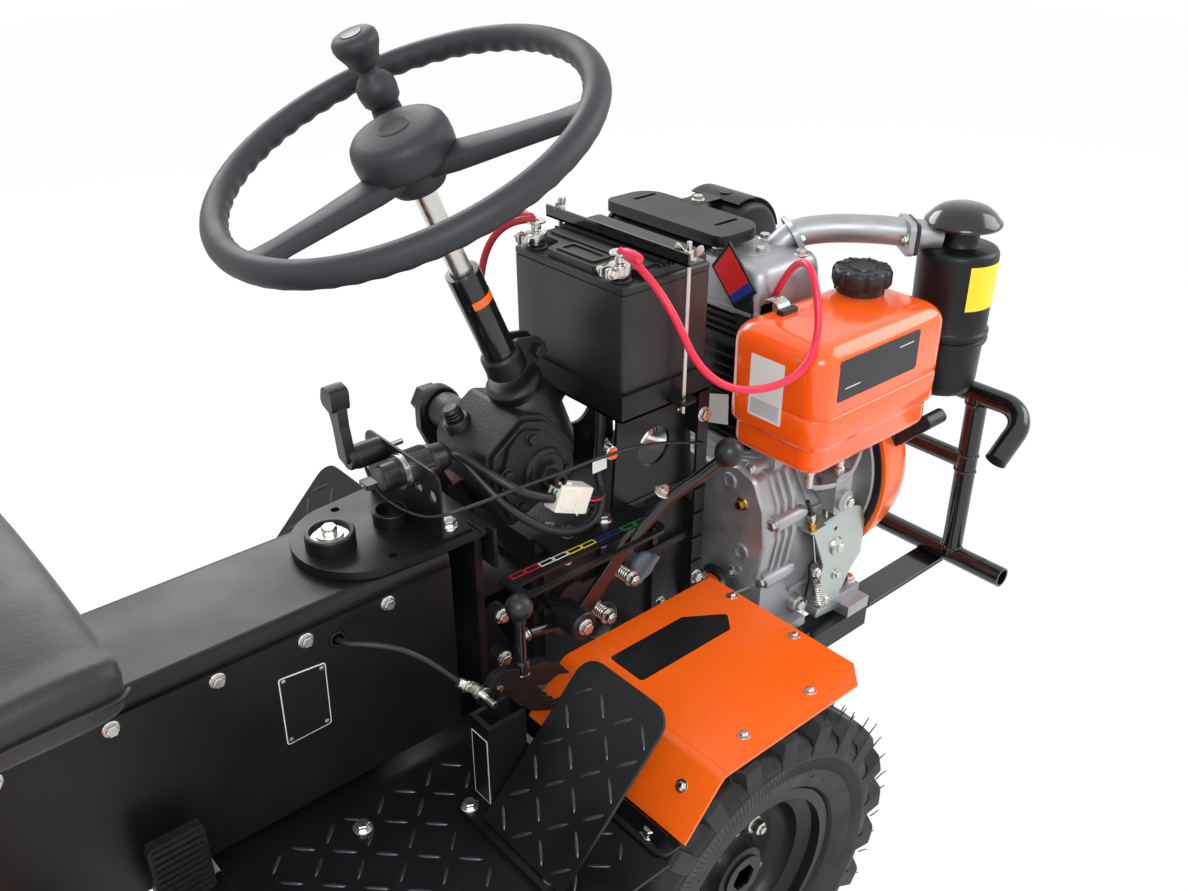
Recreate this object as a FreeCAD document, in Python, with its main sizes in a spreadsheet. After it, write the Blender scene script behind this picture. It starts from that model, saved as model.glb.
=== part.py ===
"""Compact articulated tractor: a diesel two-wheel tractor in front, a hinged seat unit behind.

Frame: +X forward, +Y to the tractor's left, +Z up, origin on the ground at the middle of the
overall length and width.  Lengths are millimetres.  A place "ahead" is measured forward from
the front axle, a "back" value rearward from it, and heights are measured from the ground.
"""
import FreeCAD, Part
import math
import os
import Sketcher
from FreeCAD import Placement, Rotation, Vector

doc = FreeCAD.newDocument("CompactTractor")
sheet = doc.addObject("Spreadsheet::Sheet", "Sizes")

SIZES = {
    # overall layout
    "wheelbase": 870, "guard_reach": 595, "hitch_reach": 280, "half_width": 380,
    "axle_height": 237, "wheel_track": 605,
    # articulation pivot
    "pivot_back": 327, "pin_radius": 20, "pin_play": 0.05, "pivot_gap": 1.5, "ear_thick": 10,
    "ear_half_width": 74, "ear_tip": 36, "ear_nose_half": 30, "boss_radius": 36,
    "boss_height": 18, "boss_recess": 22, "yoke_gap": 44, "yoke_thick": 10,
    # tunnel of the seat unit
    "tunnel_top": 690, "tunnel_half_width": 76, "tunnel_wall": 5, "tunnel_nose": 98,
    "tunnel_tail_back": 945, "tunnel_bottom": 454, "tunnel_round": 12, "side_plate_wall": 4,
    "side_plate_drop": 18, "cable_hole": 10, "cable_hole_back": 372, "cable_hole_height": 646,
    # floor and fenders
    "floor_top": 438, "floor_wall": 4, "floor_front_back": 184, "floor_rear_back": 535,
    "flap_inner": 270, "flap_height": 30, "fender_top": 510, "fender_wall": 3,
    "fender_inner": 120, "fender_front": 140, "fender_rear": 110, "fender_chamfer": 27,
    "fender_slope_foot": 163, "fender_slope_height": 450, "fender_upstand": 26,
    # wheels
    "tyre_radius": 237, "tyre_width": 122, "lug_height": 15, "lug_width": 25, "lug_count": 15,
    "lug_slant": 9, "rim_radius": 127, "rim_width": 92, "rim_dish": 24, "rim_wall": 5, "hub_radius": 46,
    "disc_wall": 6, "hub_length": 44, "stub_radius": 16, "stub_play": 0.05, "stub_length": 90,
    "axle_tube": 34, "axle_flange": 58, "axle_gap": 50, "axle_bore_depth": 60,
    # battery and its tray
    "battery_length": 136, "battery_width": 195, "battery_top": 950, "battery_height": 172,
    "battery_ahead": 0.5, "battery_lid": 22, "terminal_radius": 9, "terminal_height": 15,
    "tray_wall": 3, "tray_lip": 30, "clamp_bar": 26, "clamp_rod": 4, "clamp_ahead": 84,
    "clamp_reach": 14,
    # engine
    "crank_height": 566, "crank_side": 24, "engine_ahead": 205, "case_length": 190,
    "case_half_width": 128, "case_bottom": 400, "case_top": 632, "cover_radius": 112,
    "cover_depth": 26, "bore_radius": 50, "fin_half": 66, "fin_count": 9, "fin_pitch": 15,
    "fin_wall": 4, "head_bottom": 784, "head_top": 836, "rocker_top": 868, "fan_radius": 176,
    "fan_depth": 72, "starter_radius": 96, "starter_depth": 26,
    # fuel tank
    "tank_ahead": 205, "tank_length": 222, "tank_width": 148, "tank_inner": 90,
    "tank_bottom": 685, "tank_height": 168, "tank_round": 24, "tank_step": 34, "tank_inset": 6,
    "cap_radius": 38, "cap_height": 28, "cap_ahead": 168, "cap_side": 46,
    # air cleaner and exhaust
    "cleaner_ahead": 520, "cleaner_side": 178, "cleaner_radius": 54, "cleaner_bottom": 690,
    "cleaner_height": 262, "elbow_radius": 19, "muffler_radius": 52, "muffler_length": 190,
    "muffler_side": 122, "muffler_height": 862, "shield_wall": 2,
    # chassis
    "rail_width": 40, "rail_thick": 8, "rail_top": 384, "rail_side": 155, "rail_back": 150,
    "cross_depth": 20, "guard_tube": 15, "guard_rung": 13, "guard_wall": 3, "guard_top": 668,
    "guard_mid": 559, "guard_upright": 208, "guard_half_width": 296, "guard_hook": 70,
    # gearbox
    "gearbox_half": 78, "gearbox_bottom": 430, "gearbox_top": 620, "gearbox_rear": 120,
    "gearbox_front": 150, "lid_height": 20, "drop_half": 58, "drop_length": 72,
    # steering
    "rake_degrees": 23, "wheel_back": 201, "wheel_height": 1105, "grip_circle": 196,
    "grip_radius": 14, "hub_cap_radius": 50, "spoke_turn": 5, "spoke_width": 30, "sector_back": 92,
    "sector_rise": 96, "sector_radius": 46, "column_radius": 19, "shaft_radius": 12,
    "shaft_play": 0.06, "column_top": 963, "pitman_side": 145, "pitman_length": 150,
    "link_radius": 8, "cable_radius": 4.5, "horn_wall": 12, "knob_radius": 25, "knob_reach": 119,
    # controls
    "panel_back": 234, "panel_half": 74, "panel_top": 782, "panel_wall": 3, "switch_side": 5,
    "lever_side": 42, "clutch_inset": 208, "brake_inset": 228, "post_back": 266, "post_depth": 50,
    "post_width": 26, "post_top": 561, "treadle_inset": 58, "treadle_back": 296, "treadle_length": 166,
    "treadle_wall": 5, "strap_wall": 7, "gate_side": 140, "gate_slot": 22, "gate_wall": 4, "latch_back": 204,
    "latch_inset": 215, "latch_top": 652, "latch_knob": 15,
    # rear unit
    "seat_height": 815, "seat_width": 400, "seat_depth": 390, "cushion_thick": 70,
    "backrest_height": 330, "backrest_thick": 70, "hitch_jaw": 44, "hitch_ear": 16,
    "hitch_height": 278, "hitch_hole": 11,
}
for row, (alias, value) in enumerate(SIZES.items(), start=1):
    sheet.set(f"A{row}", alias)
    sheet.set(f"B{row}", str(value))
    sheet.setAlias(f"B{row}", alias)
doc.recompute()

SEAT = 0.3      # gap left between pieces that rest against each other


class Size:
    """A length that remembers the spreadsheet expression it was worked out from."""

    def __init__(self, value, text=None):
        self.value = float(value)
        self.text = text or repr(float(value))

    def _with(self, other, sign, value):
        other = as_size(other)
        return Size(value(self.value, other.value), f"({self.text} {sign} {other.text})")

    def __add__(self, other):
        return self._with(other, "+", lambda a, b: a + b)

    def __sub__(self, other):
        return self._with(other, "-", lambda a, b: a - b)

    def __mul__(self, other):
        return self._with(other, "*", lambda a, b: a * b)

    def __truediv__(self, other):
        return self._with(other, "/", lambda a, b: a / b)

    def __radd__(self, other):
        return as_size(other) + self

    def __rsub__(self, other):
        return as_size(other) - self

    def __rmul__(self, other):
        return as_size(other) * self

    def __neg__(self):
        return Size(0) - self

    def __float__(self):
        return self.value


def as_size(number):
    return number if isinstance(number, Size) else Size(number)


class Sheet:
    """Gives each spreadsheet cell as a Size attribute."""

    def __getattr__(self, alias):
        return Size(SIZES[alias], f"Sizes.{alias}")


s = Sheet()
NODES = []


def node(label, thing):
    """Names a finished sub-part; the label is also its file name."""
    thing.Label = label
    NODES.append(thing)
    return thing


# ---------------------------------------------------------------- building blocks
def bind(thing, path, size):
    thing.setExpression(path, as_size(size).text)


def put(thing, x=0, y=0, z=0, axis=None, angle=0):
    """Places an object, its position bound to the sheet."""
    if axis is not None:
        thing.Placement = Placement(Vector(), Rotation(Vector(*axis), float(angle)))
    for path, size in zip(("x", "y", "z"), (x, y, z)):
        bind(thing, f"Placement.Base.{path}", size)
    return thing


def block(x, y, z):
    """A box between two values on each axis."""
    thing = doc.addObject("Part::Box", "Box")
    lows = []
    for path, pair in zip(("Length", "Width", "Height"), (x, y, z)):
        low, high = sorted((as_size(v) for v in pair), key=float)
        bind(thing, path, high - low)
        lows.append(low)
    return put(thing, *lows)


TURNS = {"X": ((0, 1, 0), 90), "Y": ((1, 0, 0), -90), "Z": (None, 0)}


def rod(radius, start, length, along="Z"):
    """A cylinder from a start point along one axis."""
    thing = doc.addObject("Part::Cylinder", "Cylinder")
    bind(thing, "Radius", radius)
    bind(thing, "Height", length)
    axis, angle = TURNS[along]
    return put(thing, *start, axis=axis, angle=angle)


def cone(radius_a, radius_b, start, length, along="Z"):
    thing = doc.addObject("Part::Cone", "Cone")
    bind(thing, "Radius1", radius_a)
    bind(thing, "Radius2", radius_b)
    bind(thing, "Height", length)
    axis, angle = TURNS[along]
    return put(thing, *start, axis=axis, angle=angle)


def join(*things):
    if len(things) == 1:
        return things[0]
    fused = doc.addObject("Part::MultiFuse", "Joined")
    fused.Shapes = list(things)
    fused.Refine = True
    return fused


def cut(base, *tools):
    result = doc.addObject("Part::Cut", "Cut")
    result.Base = base
    result.Tool = join(*tools)
    result.Refine = True
    return result


def sketch_on(body, plane, offset=0):
    """A sketch on one of the body's origin planes, set off along the plane's normal."""
    flat = next(f for f in body.Origin.OriginFeatures if f.Role == f"{plane}_Plane")
    sketch = body.newObject("Sketcher::SketchObject", "Sketch")
    sketch.AttachmentSupport = [(flat, "")]
    sketch.MapMode = "FlatFace"
    bind(sketch, "AttachmentOffset.Base.z", offset)
    return sketch


def draw(sketch, points):
    """Closed straight outline, each corner bound to the sheet."""
    first = sketch.GeometryCount
    count = len(points)
    flat = [Vector(float(u), float(v), 0) for u, v in points]
    for i in range(count):
        sketch.addGeometry(Part.LineSegment(flat[i], flat[(i + 1) % count]))
    for i, (u, v) in enumerate(points):
        edge = first + i
        before = first + (i - 1) % count
        sketch.addConstraint(Sketcher.Constraint("Coincident", before, 2, edge, 1))
        for kind, size in (("DistanceX", u), ("DistanceY", v)):
            row = sketch.addConstraint(Sketcher.Constraint(kind, -1, 1, edge, 1, float(size)))
            bind(sketch, f"Constraints[{row}]", size)


def ring(sketch, u, v, radius):
    """A circle in a sketch, its centre and radius bound to the sheet."""
    circle = Part.Circle(Vector(float(u), float(v), 0), Vector(0, 0, 1), float(radius))
    edge = sketch.addGeometry(circle)
    for kind, size in (("DistanceX", u), ("DistanceY", v)):
        row = sketch.addConstraint(Sketcher.Constraint(kind, -1, 1, edge, 3, float(size)))
        bind(sketch, f"Constraints[{row}]", size)
    row = sketch.addConstraint(Sketcher.Constraint("Radius", edge, float(radius)))
    bind(sketch, f"Constraints[{row}]", radius)


ACROSS = {"XY": Vector(0, 0, 1), "XZ": Vector(0, 1, 0), "YZ": Vector(1, 0, 0)}


def plate(plane, points, start, thickness, holes=(), rounding=None, corners=None):
    """A body padded from an outline, from start along the plane's positive axis.

    holes are (u, v, radius); rounding is the corner radius; corners picks which corners
    of the outline it rounds, all of them when left out.
    """
    body = doc.addObject("PartDesign::Body", "Plate")
    flip = plane == "XZ"
    sketch = sketch_on(body, plane, -as_size(start) if flip else start)
    draw(sketch, points)
    for u, v, radius in holes:
        ring(sketch, u, v, radius)
    pad = body.newObject("PartDesign::Pad", "Pad")
    pad.Profile = sketch
    pad.Reversed = flip
    bind(pad, "Length", thickness)
    body.Tip = pad
    if rounding is not None:
        chosen = points if corners is None else [points[i] for i in corners]
        round_corners(body, plane, rounding, chosen)
    return body


def flat_pair(plane, point):
    """The two coordinates of a 3-D point in a plane's outline."""
    return {"XY": (point.x, point.y), "XZ": (point.x, point.z), "YZ": (point.y, point.z)}[plane]


def round_corners(body, plane, radius, chosen):
    """Rounds the edges that stand across the outline's plane at the chosen corners."""
    doc.recompute()
    tip = body.Tip
    names = []
    for i, edge in enumerate(tip.Shape.Edges, start=1):
        if not isinstance(edge.Curve, Part.Line):
            continue
        if abs(edge.tangentAt(edge.FirstParameter).dot(ACROSS[plane])) < 0.99:
            continue
        u, v = flat_pair(plane, edge.Vertexes[0].Point)
        if any(abs(u - float(a)) < 0.01 and abs(v - float(b)) < 0.01 for a, b in chosen):
            names.append(f"Edge{i}")
    fillet = body.newObject("PartDesign::Fillet", "Rounding")
    fillet.Base = (tip, names)
    bind(fillet, "Radius", radius)
    body.Tip = fillet


def soften(body, radius, pick):
    """Rounds the edges of a body's tip that pick(edge) chooses."""
    doc.recompute()
    tip = body.Tip
    names = [f"Edge{i}" for i, edge in enumerate(tip.Shape.Edges, start=1) if pick(edge)]
    fillet = body.newObject("PartDesign::Fillet", "Softening")
    fillet.Base = (tip, names)
    bind(fillet, "Radius", radius)
    body.Tip = fillet


def spun(points, along="Z", degrees=360):
    """A body turned from (radius, height) points about its own axis through the origin."""
    body = doc.addObject("PartDesign::Body", "Turned")
    plane = {"Z": "XZ", "Y": "XY"}[along]
    sketch = sketch_on(body, plane)
    draw(sketch, points)
    turn = body.newObject("PartDesign::Revolution", "Turn")
    turn.Profile = sketch
    turn.ReferenceAxis = (sketch, ["V_Axis"])
    turn.Angle = degrees
    body.Tip = turn
    return body


def vec(x, y, z):
    return Vector(float(x), float(y), float(z))


def path_wire(points, bend):
    """Straight runs joined by tangent arcs, of one bend radius or as large as fits."""
    corners = [vec(*p) for p in points]
    edges = []
    here = corners[0]
    for i in range(1, len(corners) - 1):
        arrive = (corners[i] - corners[i - 1]).normalize()
        leave = (corners[i + 1] - corners[i]).normalize()
        turn = arrive.getAngle(leave)
        shorter = min((corners[i] - corners[i - 1]).Length, (corners[i + 1] - corners[i]).Length)
        widest = 0.45 * shorter / math.tan(turn / 2)
        radius = widest if bend is None else min(float(bend), widest)
        back = radius * math.tan(turn / 2)
        start = corners[i] - arrive * back
        end = corners[i] + leave * back
        inward = (leave - arrive).normalize()
        middle = corners[i] + inward * (radius / math.cos(turn / 2) - radius)
        edges.append(Part.LineSegment(here, start).toShape())
        edges.append(Part.Arc(start, middle, end).toShape())
        here = end
    edges.append(Part.LineSegment(here, corners[-1]).toShape())
    return Part.Wire(edges)


def tube_shape(points, radius, bend=None):
    """A round bar swept along bent runs; its volume is checked against its length."""
    wire = path_wire(points, bend)
    first = vec(*points[0])
    heading = (vec(*points[1]) - first).normalize()
    radius = float(radius)
    section = Part.Wire([Part.Circle(first, heading, radius).toShape()])
    solid = wire.makePipeShell([section], True, False)
    wanted = math.pi * radius * radius * wire.Length
    if abs(solid.Volume - wanted) > 0.02 * wanted:
        raise ValueError(f"tube volume {solid.Volume:.0f}, wanted {wanted:.0f}")
    return solid


def fused(shapes):
    """One shape from several that touch."""
    whole = shapes[0]
    for shape in shapes[1:]:
        whole = whole.fuse(shape)
    return whole.removeSplitter()


def made(shape):
    """A plain feature that holds a shape built with Part's own functions."""
    thing = doc.addObject("Part::Feature", "Made")
    thing.Shape = shape
    return thing


# ---------------------------------------------------------------- shared places
overall_length = s.guard_reach + s.wheelbase + s.hitch_reach
front_axle_x = overall_length / 2 - s.guard_reach
rear_axle_x = front_axle_x - s.wheelbase
pivot_x = front_axle_x - s.pivot_back
yoke_x = pivot_x + s.tunnel_nose + s.yoke_gap - s.yoke_thick
ear_under = s.tunnel_top + s.pivot_gap
sector_height = s.gearbox_top + s.lid_height + s.sector_rise
horn_height = sector_height - s.pitman_length
rake = math.radians(SIZES["rake_degrees"])
up_column = Vector(-math.sin(rake), 0, math.cos(rake))
out_column = Vector(math.cos(rake), 0, math.sin(rake))


def ahead(distance):
    """X of a place measured forward from the front axle."""
    return front_axle_x + distance


def on_column(height, side=0.0, out=0.0):
    """A point of the steering column's axis at a height, moved across or out from it."""
    rise = (float(height) - SIZES["wheel_height"]) / math.cos(rake)
    centre = vec(ahead(-s.wheel_back), 0, s.wheel_height)
    return centre + up_column * rise + out_column * out + Vector(0, side, 0)


# ---------------------------------------------------------------- tyres and wheels
def tyre_shape(side):
    """Carcass with slanted lugs that meet in a chevron, centred on the wheel's axis (Y)."""
    half = SIZES["tyre_width"] / 2
    outer = SIZES["tyre_radius"]
    base = outer - SIZES["lug_height"]
    bead = SIZES["rim_radius"]
    belt = SIZES["rim_width"] / 2
    flange = SIZES["rim_wall"] + SEAT - belt
    outline = [(bead, flange), (bead + 10, flange), (base - 44, -half), (base - 9, 1 - half), (base, 9 - half)]
    outline += [(r, -y) for r, y in reversed(outline)]
    wire = Part.makePolygon([Vector(r, y, 0) for r, y in outline + outline[:1]])
    carcass = Part.Face(wire).revolve(Vector(), Vector(0, 1, 0), 360)
    bars = []
    count = int(SIZES["lug_count"])
    step = 2 * math.pi / count
    wide = SIZES["lug_width"] / 2
    lean = outer * math.radians(SIZES["lug_slant"]) * side
    corner = abs(lean) / 2 + wide
    high = math.sqrt(outer ** 2 - corner ** 2)
    first = math.atan2(corner, high) - math.pi / 2      # one corner of the first bar stands on the ground
    for hand in (-1, 1):
        for i in range(count):
            middle = first + i * step + (step / 2 if hand > 0 else 0)
            bars.append(lug(middle, wide, lean, hand, base - 6, high, half - 12))
    return carcass.fuse(bars).removeSplitter()


def lug(middle, wide, lean, hand, low, high, reach):
    """One tread bar: a slanted prism from near the centre line out to the shoulder."""
    out = Vector(math.cos(middle), 0, math.sin(middle))
    along = Vector(-math.sin(middle), 0, math.cos(middle))
    start = along * (-lean / 2) + Vector(0, hand * 3, 0)
    foot = wide * 1.15
    corners = [start + along * a + out * r for a, r in ((-foot, low), (foot, low), (wide, high), (-wide, high))]
    return Part.Face(Part.makePolygon(corners + corners[:1])).extrude(along * lean + Vector(0, hand * reach, 0))


def wheel_body():
    """Dished steel wheel turned about Y: rim flanges, bead seats, well and disc."""
    bead = s.rim_radius
    belt = s.rim_width / 2
    wall = s.rim_wall
    well = bead - s.rim_dish
    eye = s.hub_radius - 8
    return spun([
        (eye, -s.disc_wall), (well, -s.disc_wall), (well, 24 - belt), (bead - wall, 12 - belt),
        (bead - wall, -belt), (bead + 9, -belt), (bead + 9, wall - belt), (bead - SEAT, wall - belt),
        (bead - SEAT, 17 - belt), (well + wall, 28 - belt), (well + wall, belt - 28), (bead - SEAT, belt - 17),
        (bead - SEAT, belt - wall), (bead + 9, belt - wall), (bead + 9, belt), (bead - wall, belt),
        (bead - wall, belt - 12), (well, belt - 24), (well, 0), (eye, 0),
    ], along="Y")


right_tyre = tyre_shape(-1)
left_tyre = tyre_shape(1)
for axle_name, axle_x in (("front", front_axle_x), ("rear", rear_axle_x)):
    for side_name, side in (("left", 1), ("right", -1)):
        middle = side * s.wheel_track / 2
        tyre = made(left_tyre if side > 0 else right_tyre)
        node(f"tyre_{axle_name}_{side_name}", put(tyre, axle_x, middle, s.axle_height))
        disc = put(wheel_body(), axle_x, middle, s.axle_height)
        hub = rod(s.hub_radius, (axle_x, middle - s.hub_length / 2, s.axle_height), s.hub_length, "Y")
        low = middle if side < 0 else middle - s.stub_length
        stub = rod(s.stub_radius, (axle_x, low, s.axle_height), s.stub_length, "Y")
        node(f"wheel_{axle_name}_{side_name}", join(disc, hub, stub))


# ---------------------------------------------------------------- axles
def axle_case(label, x, *middle_parts):
    """Cross tube with end flanges, bored for the stub shafts, joined to its middle parts."""
    reach = s.wheel_track / 2 - s.axle_gap
    parts = [rod(s.axle_tube, (x, -reach, s.axle_height), 2 * reach, "Y")]
    bores = []
    for side in (-1, 1):
        start = side * reach
        parts.append(rod(s.axle_flange, (x, start - 6 - side * 12, s.axle_height), 12, "Y"))
        parts.append(cone(*(s.axle_tube, 52) if side > 0 else (52, s.axle_tube),
                          (x, start - 42 if side > 0 else start + 12, s.axle_height), 30, "Y"))
        low = start - s.axle_bore_depth if side > 0 else start - 1
        bores.append(rod(s.stub_radius + s.stub_play, (x, low, s.axle_height), s.axle_bore_depth + 1, "Y"))
    return node(label, cut(join(*parts, *middle_parts), *bores))


drop_low = s.axle_height - s.drop_half - 6
drop_case = plate("XZ", [
    (ahead(-s.drop_length), s.gearbox_bottom), (ahead(-s.drop_length), s.axle_height + 30),
    (ahead(-40), drop_low), (ahead(40), drop_low), (ahead(s.drop_length), s.axle_height + 30),
    (ahead(s.drop_length), s.gearbox_bottom),
], -s.drop_half, 2 * s.drop_half)
axle_case("front_axle", front_axle_x, drop_case)
riser = plate("XZ", [
    (rear_axle_x - 70, s.tunnel_bottom - 12), (rear_axle_x - 60, s.tunnel_bottom - 72),
    (rear_axle_x - 60, s.axle_height + 30),
    (rear_axle_x - 40, drop_low), (rear_axle_x + 40, drop_low), (rear_axle_x + 60, s.axle_height + 30),
    (rear_axle_x + 90, s.tunnel_bottom - 12),
], -s.drop_half, 2 * s.drop_half)
saddle = block((rear_axle_x - 70, rear_axle_x + 90), (-s.tunnel_half_width, s.tunnel_half_width),
               (s.tunnel_bottom - 12, s.tunnel_bottom - SEAT))
axle_case("rear_axle", rear_axle_x, riser, saddle)

# ---------------------------------------------------------------- gearbox
half = s.gearbox_half
case = plate("YZ", [
    (-half + 14, s.gearbox_bottom), (half - 14, s.gearbox_bottom), (half, s.gearbox_bottom + 30),
    (half, s.gearbox_top), (-half, s.gearbox_top), (-half, s.gearbox_bottom + 30),
], ahead(-s.gearbox_rear), s.gearbox_rear + s.gearbox_front)
lid = block((ahead(-105), ahead(70)), (-half + 12, half - 12), (s.gearbox_top, s.gearbox_top + s.lid_height))
parts = [case, lid]
for at in (-108, -20, 68, 128):
    for side in (-1, 1):
        parts.append(block((ahead(at), ahead(at + 8)), (side * half, side * (half + 7)),
                           (s.gearbox_bottom + 32, s.gearbox_top - 8)))
for side in (-1, 1):
    parts.append(block((ahead(-s.gearbox_rear), ahead(s.gearbox_front)), (side * half, side * (half + 9)),
                       (s.gearbox_top - 60, s.gearbox_top - 50)))
    parts.append(rod(22, (ahead(-70), half if side > 0 else -half - 14, 560), 14, "Y"))
parts.append(cone(46, 38, (ahead(s.gearbox_front), -s.crank_side, s.crank_height - 36),
                  s.engine_ahead - s.gearbox_front - s.cover_depth - SEAT, "X"))
node("gearbox", join(*parts))

# ---------------------------------------------------------------- chassis of the front unit
cross = s.rail_side + s.rail_width
parts = []
for side in (-1, 1):
    parts.append(block((ahead(-s.rail_back), ahead(s.guard_reach - 4)), (side * s.rail_side, side * cross),
                       (s.rail_top - s.rail_thick, s.rail_top)))
    parts.append(block((ahead(-s.rail_back), ahead(s.engine_ahead + s.case_length)),
                       (side * cross, side * (cross - 6)), (s.rail_top - 34, s.rail_top)))
for at in (-140, 90):
    parts.append(block((ahead(at), ahead(at + 40)), (-cross, cross), (s.rail_top - s.cross_depth, s.rail_top)))
for at in (20, 145):
    parts.append(block((ahead(s.engine_ahead + at), ahead(s.engine_ahead + at + 40)), (-cross, cross),
                       (s.rail_top, s.case_bottom)))
yoke_face = yoke_x + s.yoke_thick
parts.append(block((yoke_x, yoke_face), (-s.ear_half_width, s.ear_half_width),
                   (s.rail_top - s.cross_depth, ear_under)))
parts.append(block((yoke_face, ahead(-s.gearbox_rear)), (-70, 70), (602, 612)))
for side in (-1, 1):
    parts.append(plate("XZ", [
        (yoke_face, s.rail_top - s.cross_depth), (ahead(-100), s.rail_top - s.cross_depth),
        (ahead(-100), s.gearbox_bottom - SEAT), (ahead(-s.gearbox_rear) - SEAT, s.gearbox_bottom - SEAT),
        (ahead(-s.gearbox_rear) - SEAT, s.gearbox_bottom + 40), (yoke_face, s.gearbox_top - 18),
    ], side * 50 - 4, 8))
    for at in (-95, 110):
        post = s.rail_side + 8
        parts.append(block((ahead(at), ahead(at + 20)), (side * post, side * (post + 5)),
                           (s.rail_top, s.fender_top - s.fender_wall - SEAT)))
        parts.append(block((ahead(at), ahead(at + 20)), (side * (s.fender_inner + 8), side * (s.half_width - 40)),
                           (s.fender_top - s.fender_wall - SEAT - 5, s.fender_top - s.fender_wall - SEAT)))
node("front_frame", join(*parts))

# battery stand: folded side plates on the gearbox with slotted upright
stand_low = s.gearbox_top + s.lid_height
tray_under = s.battery_top - s.battery_height - s.tray_wall - SEAT
parts = [block((ahead(-8), ahead(s.gearbox_front)), (-half, half), (stand_low, stand_low + 5))]
for side in (-1, 1):
    parts.append(plate("XZ", [
        (ahead(6), stand_low), (ahead(140), stand_low), (ahead(132), tray_under), (ahead(14), tray_under),
    ], side * 74 - 2.5, 5, holes=[(ahead(73), stand_low + 70, 26)]))
parts.append(block((ahead(14), ahead(132)), (-76, 76), (tray_under - 5, tray_under)))
for side in (-1, 1):
    parts.append(block((ahead(128), ahead(146)), (side * 92, side * 96), (s.gearbox_bottom + 40, tray_under)))
    parts.append(block((ahead(128), ahead(132)), (side * 60, side * 96), (tray_under - 60, tray_under)))
    parts.append(block((ahead(128), ahead(146)), (side * (half + 9 + SEAT), side * 92),
                       (s.gearbox_top - 60, s.gearbox_top - 50)))
node("battery_stand", join(*parts))

# guard of bent tube at the nose
guard_x = ahead(s.guard_reach - s.guard_tube)
guard_low = s.rail_top + s.guard_tube + SEAT
reach = s.guard_half_width
shapes = [
    tube_shape([(guard_x, -reach, guard_low), (guard_x, reach, guard_low)], s.guard_tube),
    tube_shape([(guard_x, -s.guard_upright, s.guard_mid), (guard_x, s.guard_upright, s.guard_mid)], s.guard_rung),
    tube_shape([
        (guard_x - s.guard_hook, -reach + 8, s.guard_top - 50), (guard_x, -reach + 8, s.guard_top),
        (guard_x, reach - 8, s.guard_top), (guard_x - s.guard_hook, reach - 8, s.guard_top - 50),
    ], s.guard_tube, 42),
]
for side in (-1, 1):
    shapes.append(tube_shape([(guard_x, side * s.guard_upright, guard_low),
                              (guard_x, side * s.guard_upright, s.guard_top)], s.guard_tube))
guard = fused(shapes)
for side in (-1, 1):
    mouth = vec(guard_x, side * reach, guard_low)
    guard = guard.cut(Part.makeCylinder(SIZES["guard_tube"] - SIZES["guard_wall"], 80, mouth, Vector(0, -side, 0)))
node("front_guard", made(guard))

# ---------------------------------------------------------------- pivot
ear = plate("XY", [
    (pivot_x - s.ear_tip, -s.ear_nose_half), (pivot_x - 6, -s.ear_half_width), (yoke_face, -s.ear_half_width),
    (yoke_face, s.ear_half_width), (pivot_x - 6, s.ear_half_width), (pivot_x - s.ear_tip, s.ear_nose_half),
], ear_under, s.ear_thick, holes=[
    (pivot_x + 42, -60, 6), (pivot_x + 42, 60, 6), (pivot_x, 0, s.pin_radius + s.pin_play),
], rounding=14, corners=(0, 1, 4, 5))
boss = rod(s.boss_radius, (pivot_x, 0, ear_under + s.ear_thick), s.boss_height)
bore = rod(s.pin_radius + s.pin_play, (pivot_x, 0, s.floor_top), 400)
apron = block((yoke_face, yoke_face + 5), (-s.ear_half_width - 16, s.ear_half_width + 16),
              (ear_under - 40, ear_under + s.ear_thick))
node("pivot_bracket", join(cut(join(ear, boss), bore), apron))
foot_plate = block((pivot_x - 40, yoke_x - SEAT), (-45, 45), (s.floor_top + SEAT, s.tunnel_bottom - 3))
node("pivot_foot", cut(foot_plate, bore))
pin_low = s.floor_top + 1
pin_high = ear_under + s.ear_thick + s.boss_height - 5
sleeve_low = s.tunnel_bottom + 6
inner = s.tunnel_half_width - s.tunnel_wall
node("pivot_pin", join(
    rod(s.pin_radius, (pivot_x, 0, pin_low), pin_high - pin_low),
    rod(32, (pivot_x, 0, sleeve_low), s.tunnel_top - s.tunnel_wall - SEAT - sleeve_low),
    block((pivot_x - 6, pivot_x + 6), (-inner + SEAT, inner - SEAT), (sleeve_low + 24, s.tunnel_top - 40)),
))

# ---------------------------------------------------------------- tunnel of the seat unit
nose_x = pivot_x + s.tunnel_nose
tail_x = ahead(-s.tunnel_tail_back)
hood = plate("YZ", [
    (-s.tunnel_half_width, s.tunnel_bottom), (-s.tunnel_half_width, s.tunnel_top),
    (s.tunnel_half_width, s.tunnel_top), (s.tunnel_half_width, s.tunnel_bottom),
], tail_x, nose_x - tail_x, rounding=s.tunnel_round, corners=(1, 2))
hollow = plate("YZ", [
    (-inner, s.tunnel_bottom - 1), (-inner, s.tunnel_top - s.tunnel_wall),
    (inner, s.tunnel_top - s.tunnel_wall), (inner, s.tunnel_bottom - 1),
], tail_x + s.tunnel_wall, nose_x - tail_x, rounding=s.tunnel_round - s.tunnel_wall, corners=(1, 2))
holes = [rod(s.pin_radius, (pivot_x, 0, s.tunnel_top - 20), 40),
         rod(s.cable_hole, (ahead(-s.cable_hole_back), -s.tunnel_half_width - 1, s.cable_hole_height),
             s.tunnel_wall + 2, "Y")]
keel_top = s.tunnel_bottom + s.tunnel_wall
keel = block((tail_x + s.tunnel_wall, pivot_x - 90), (-inner, inner), (s.tunnel_bottom, keel_top))
node("tunnel", join(cut(hood, hollow, *holes), keel))
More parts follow.
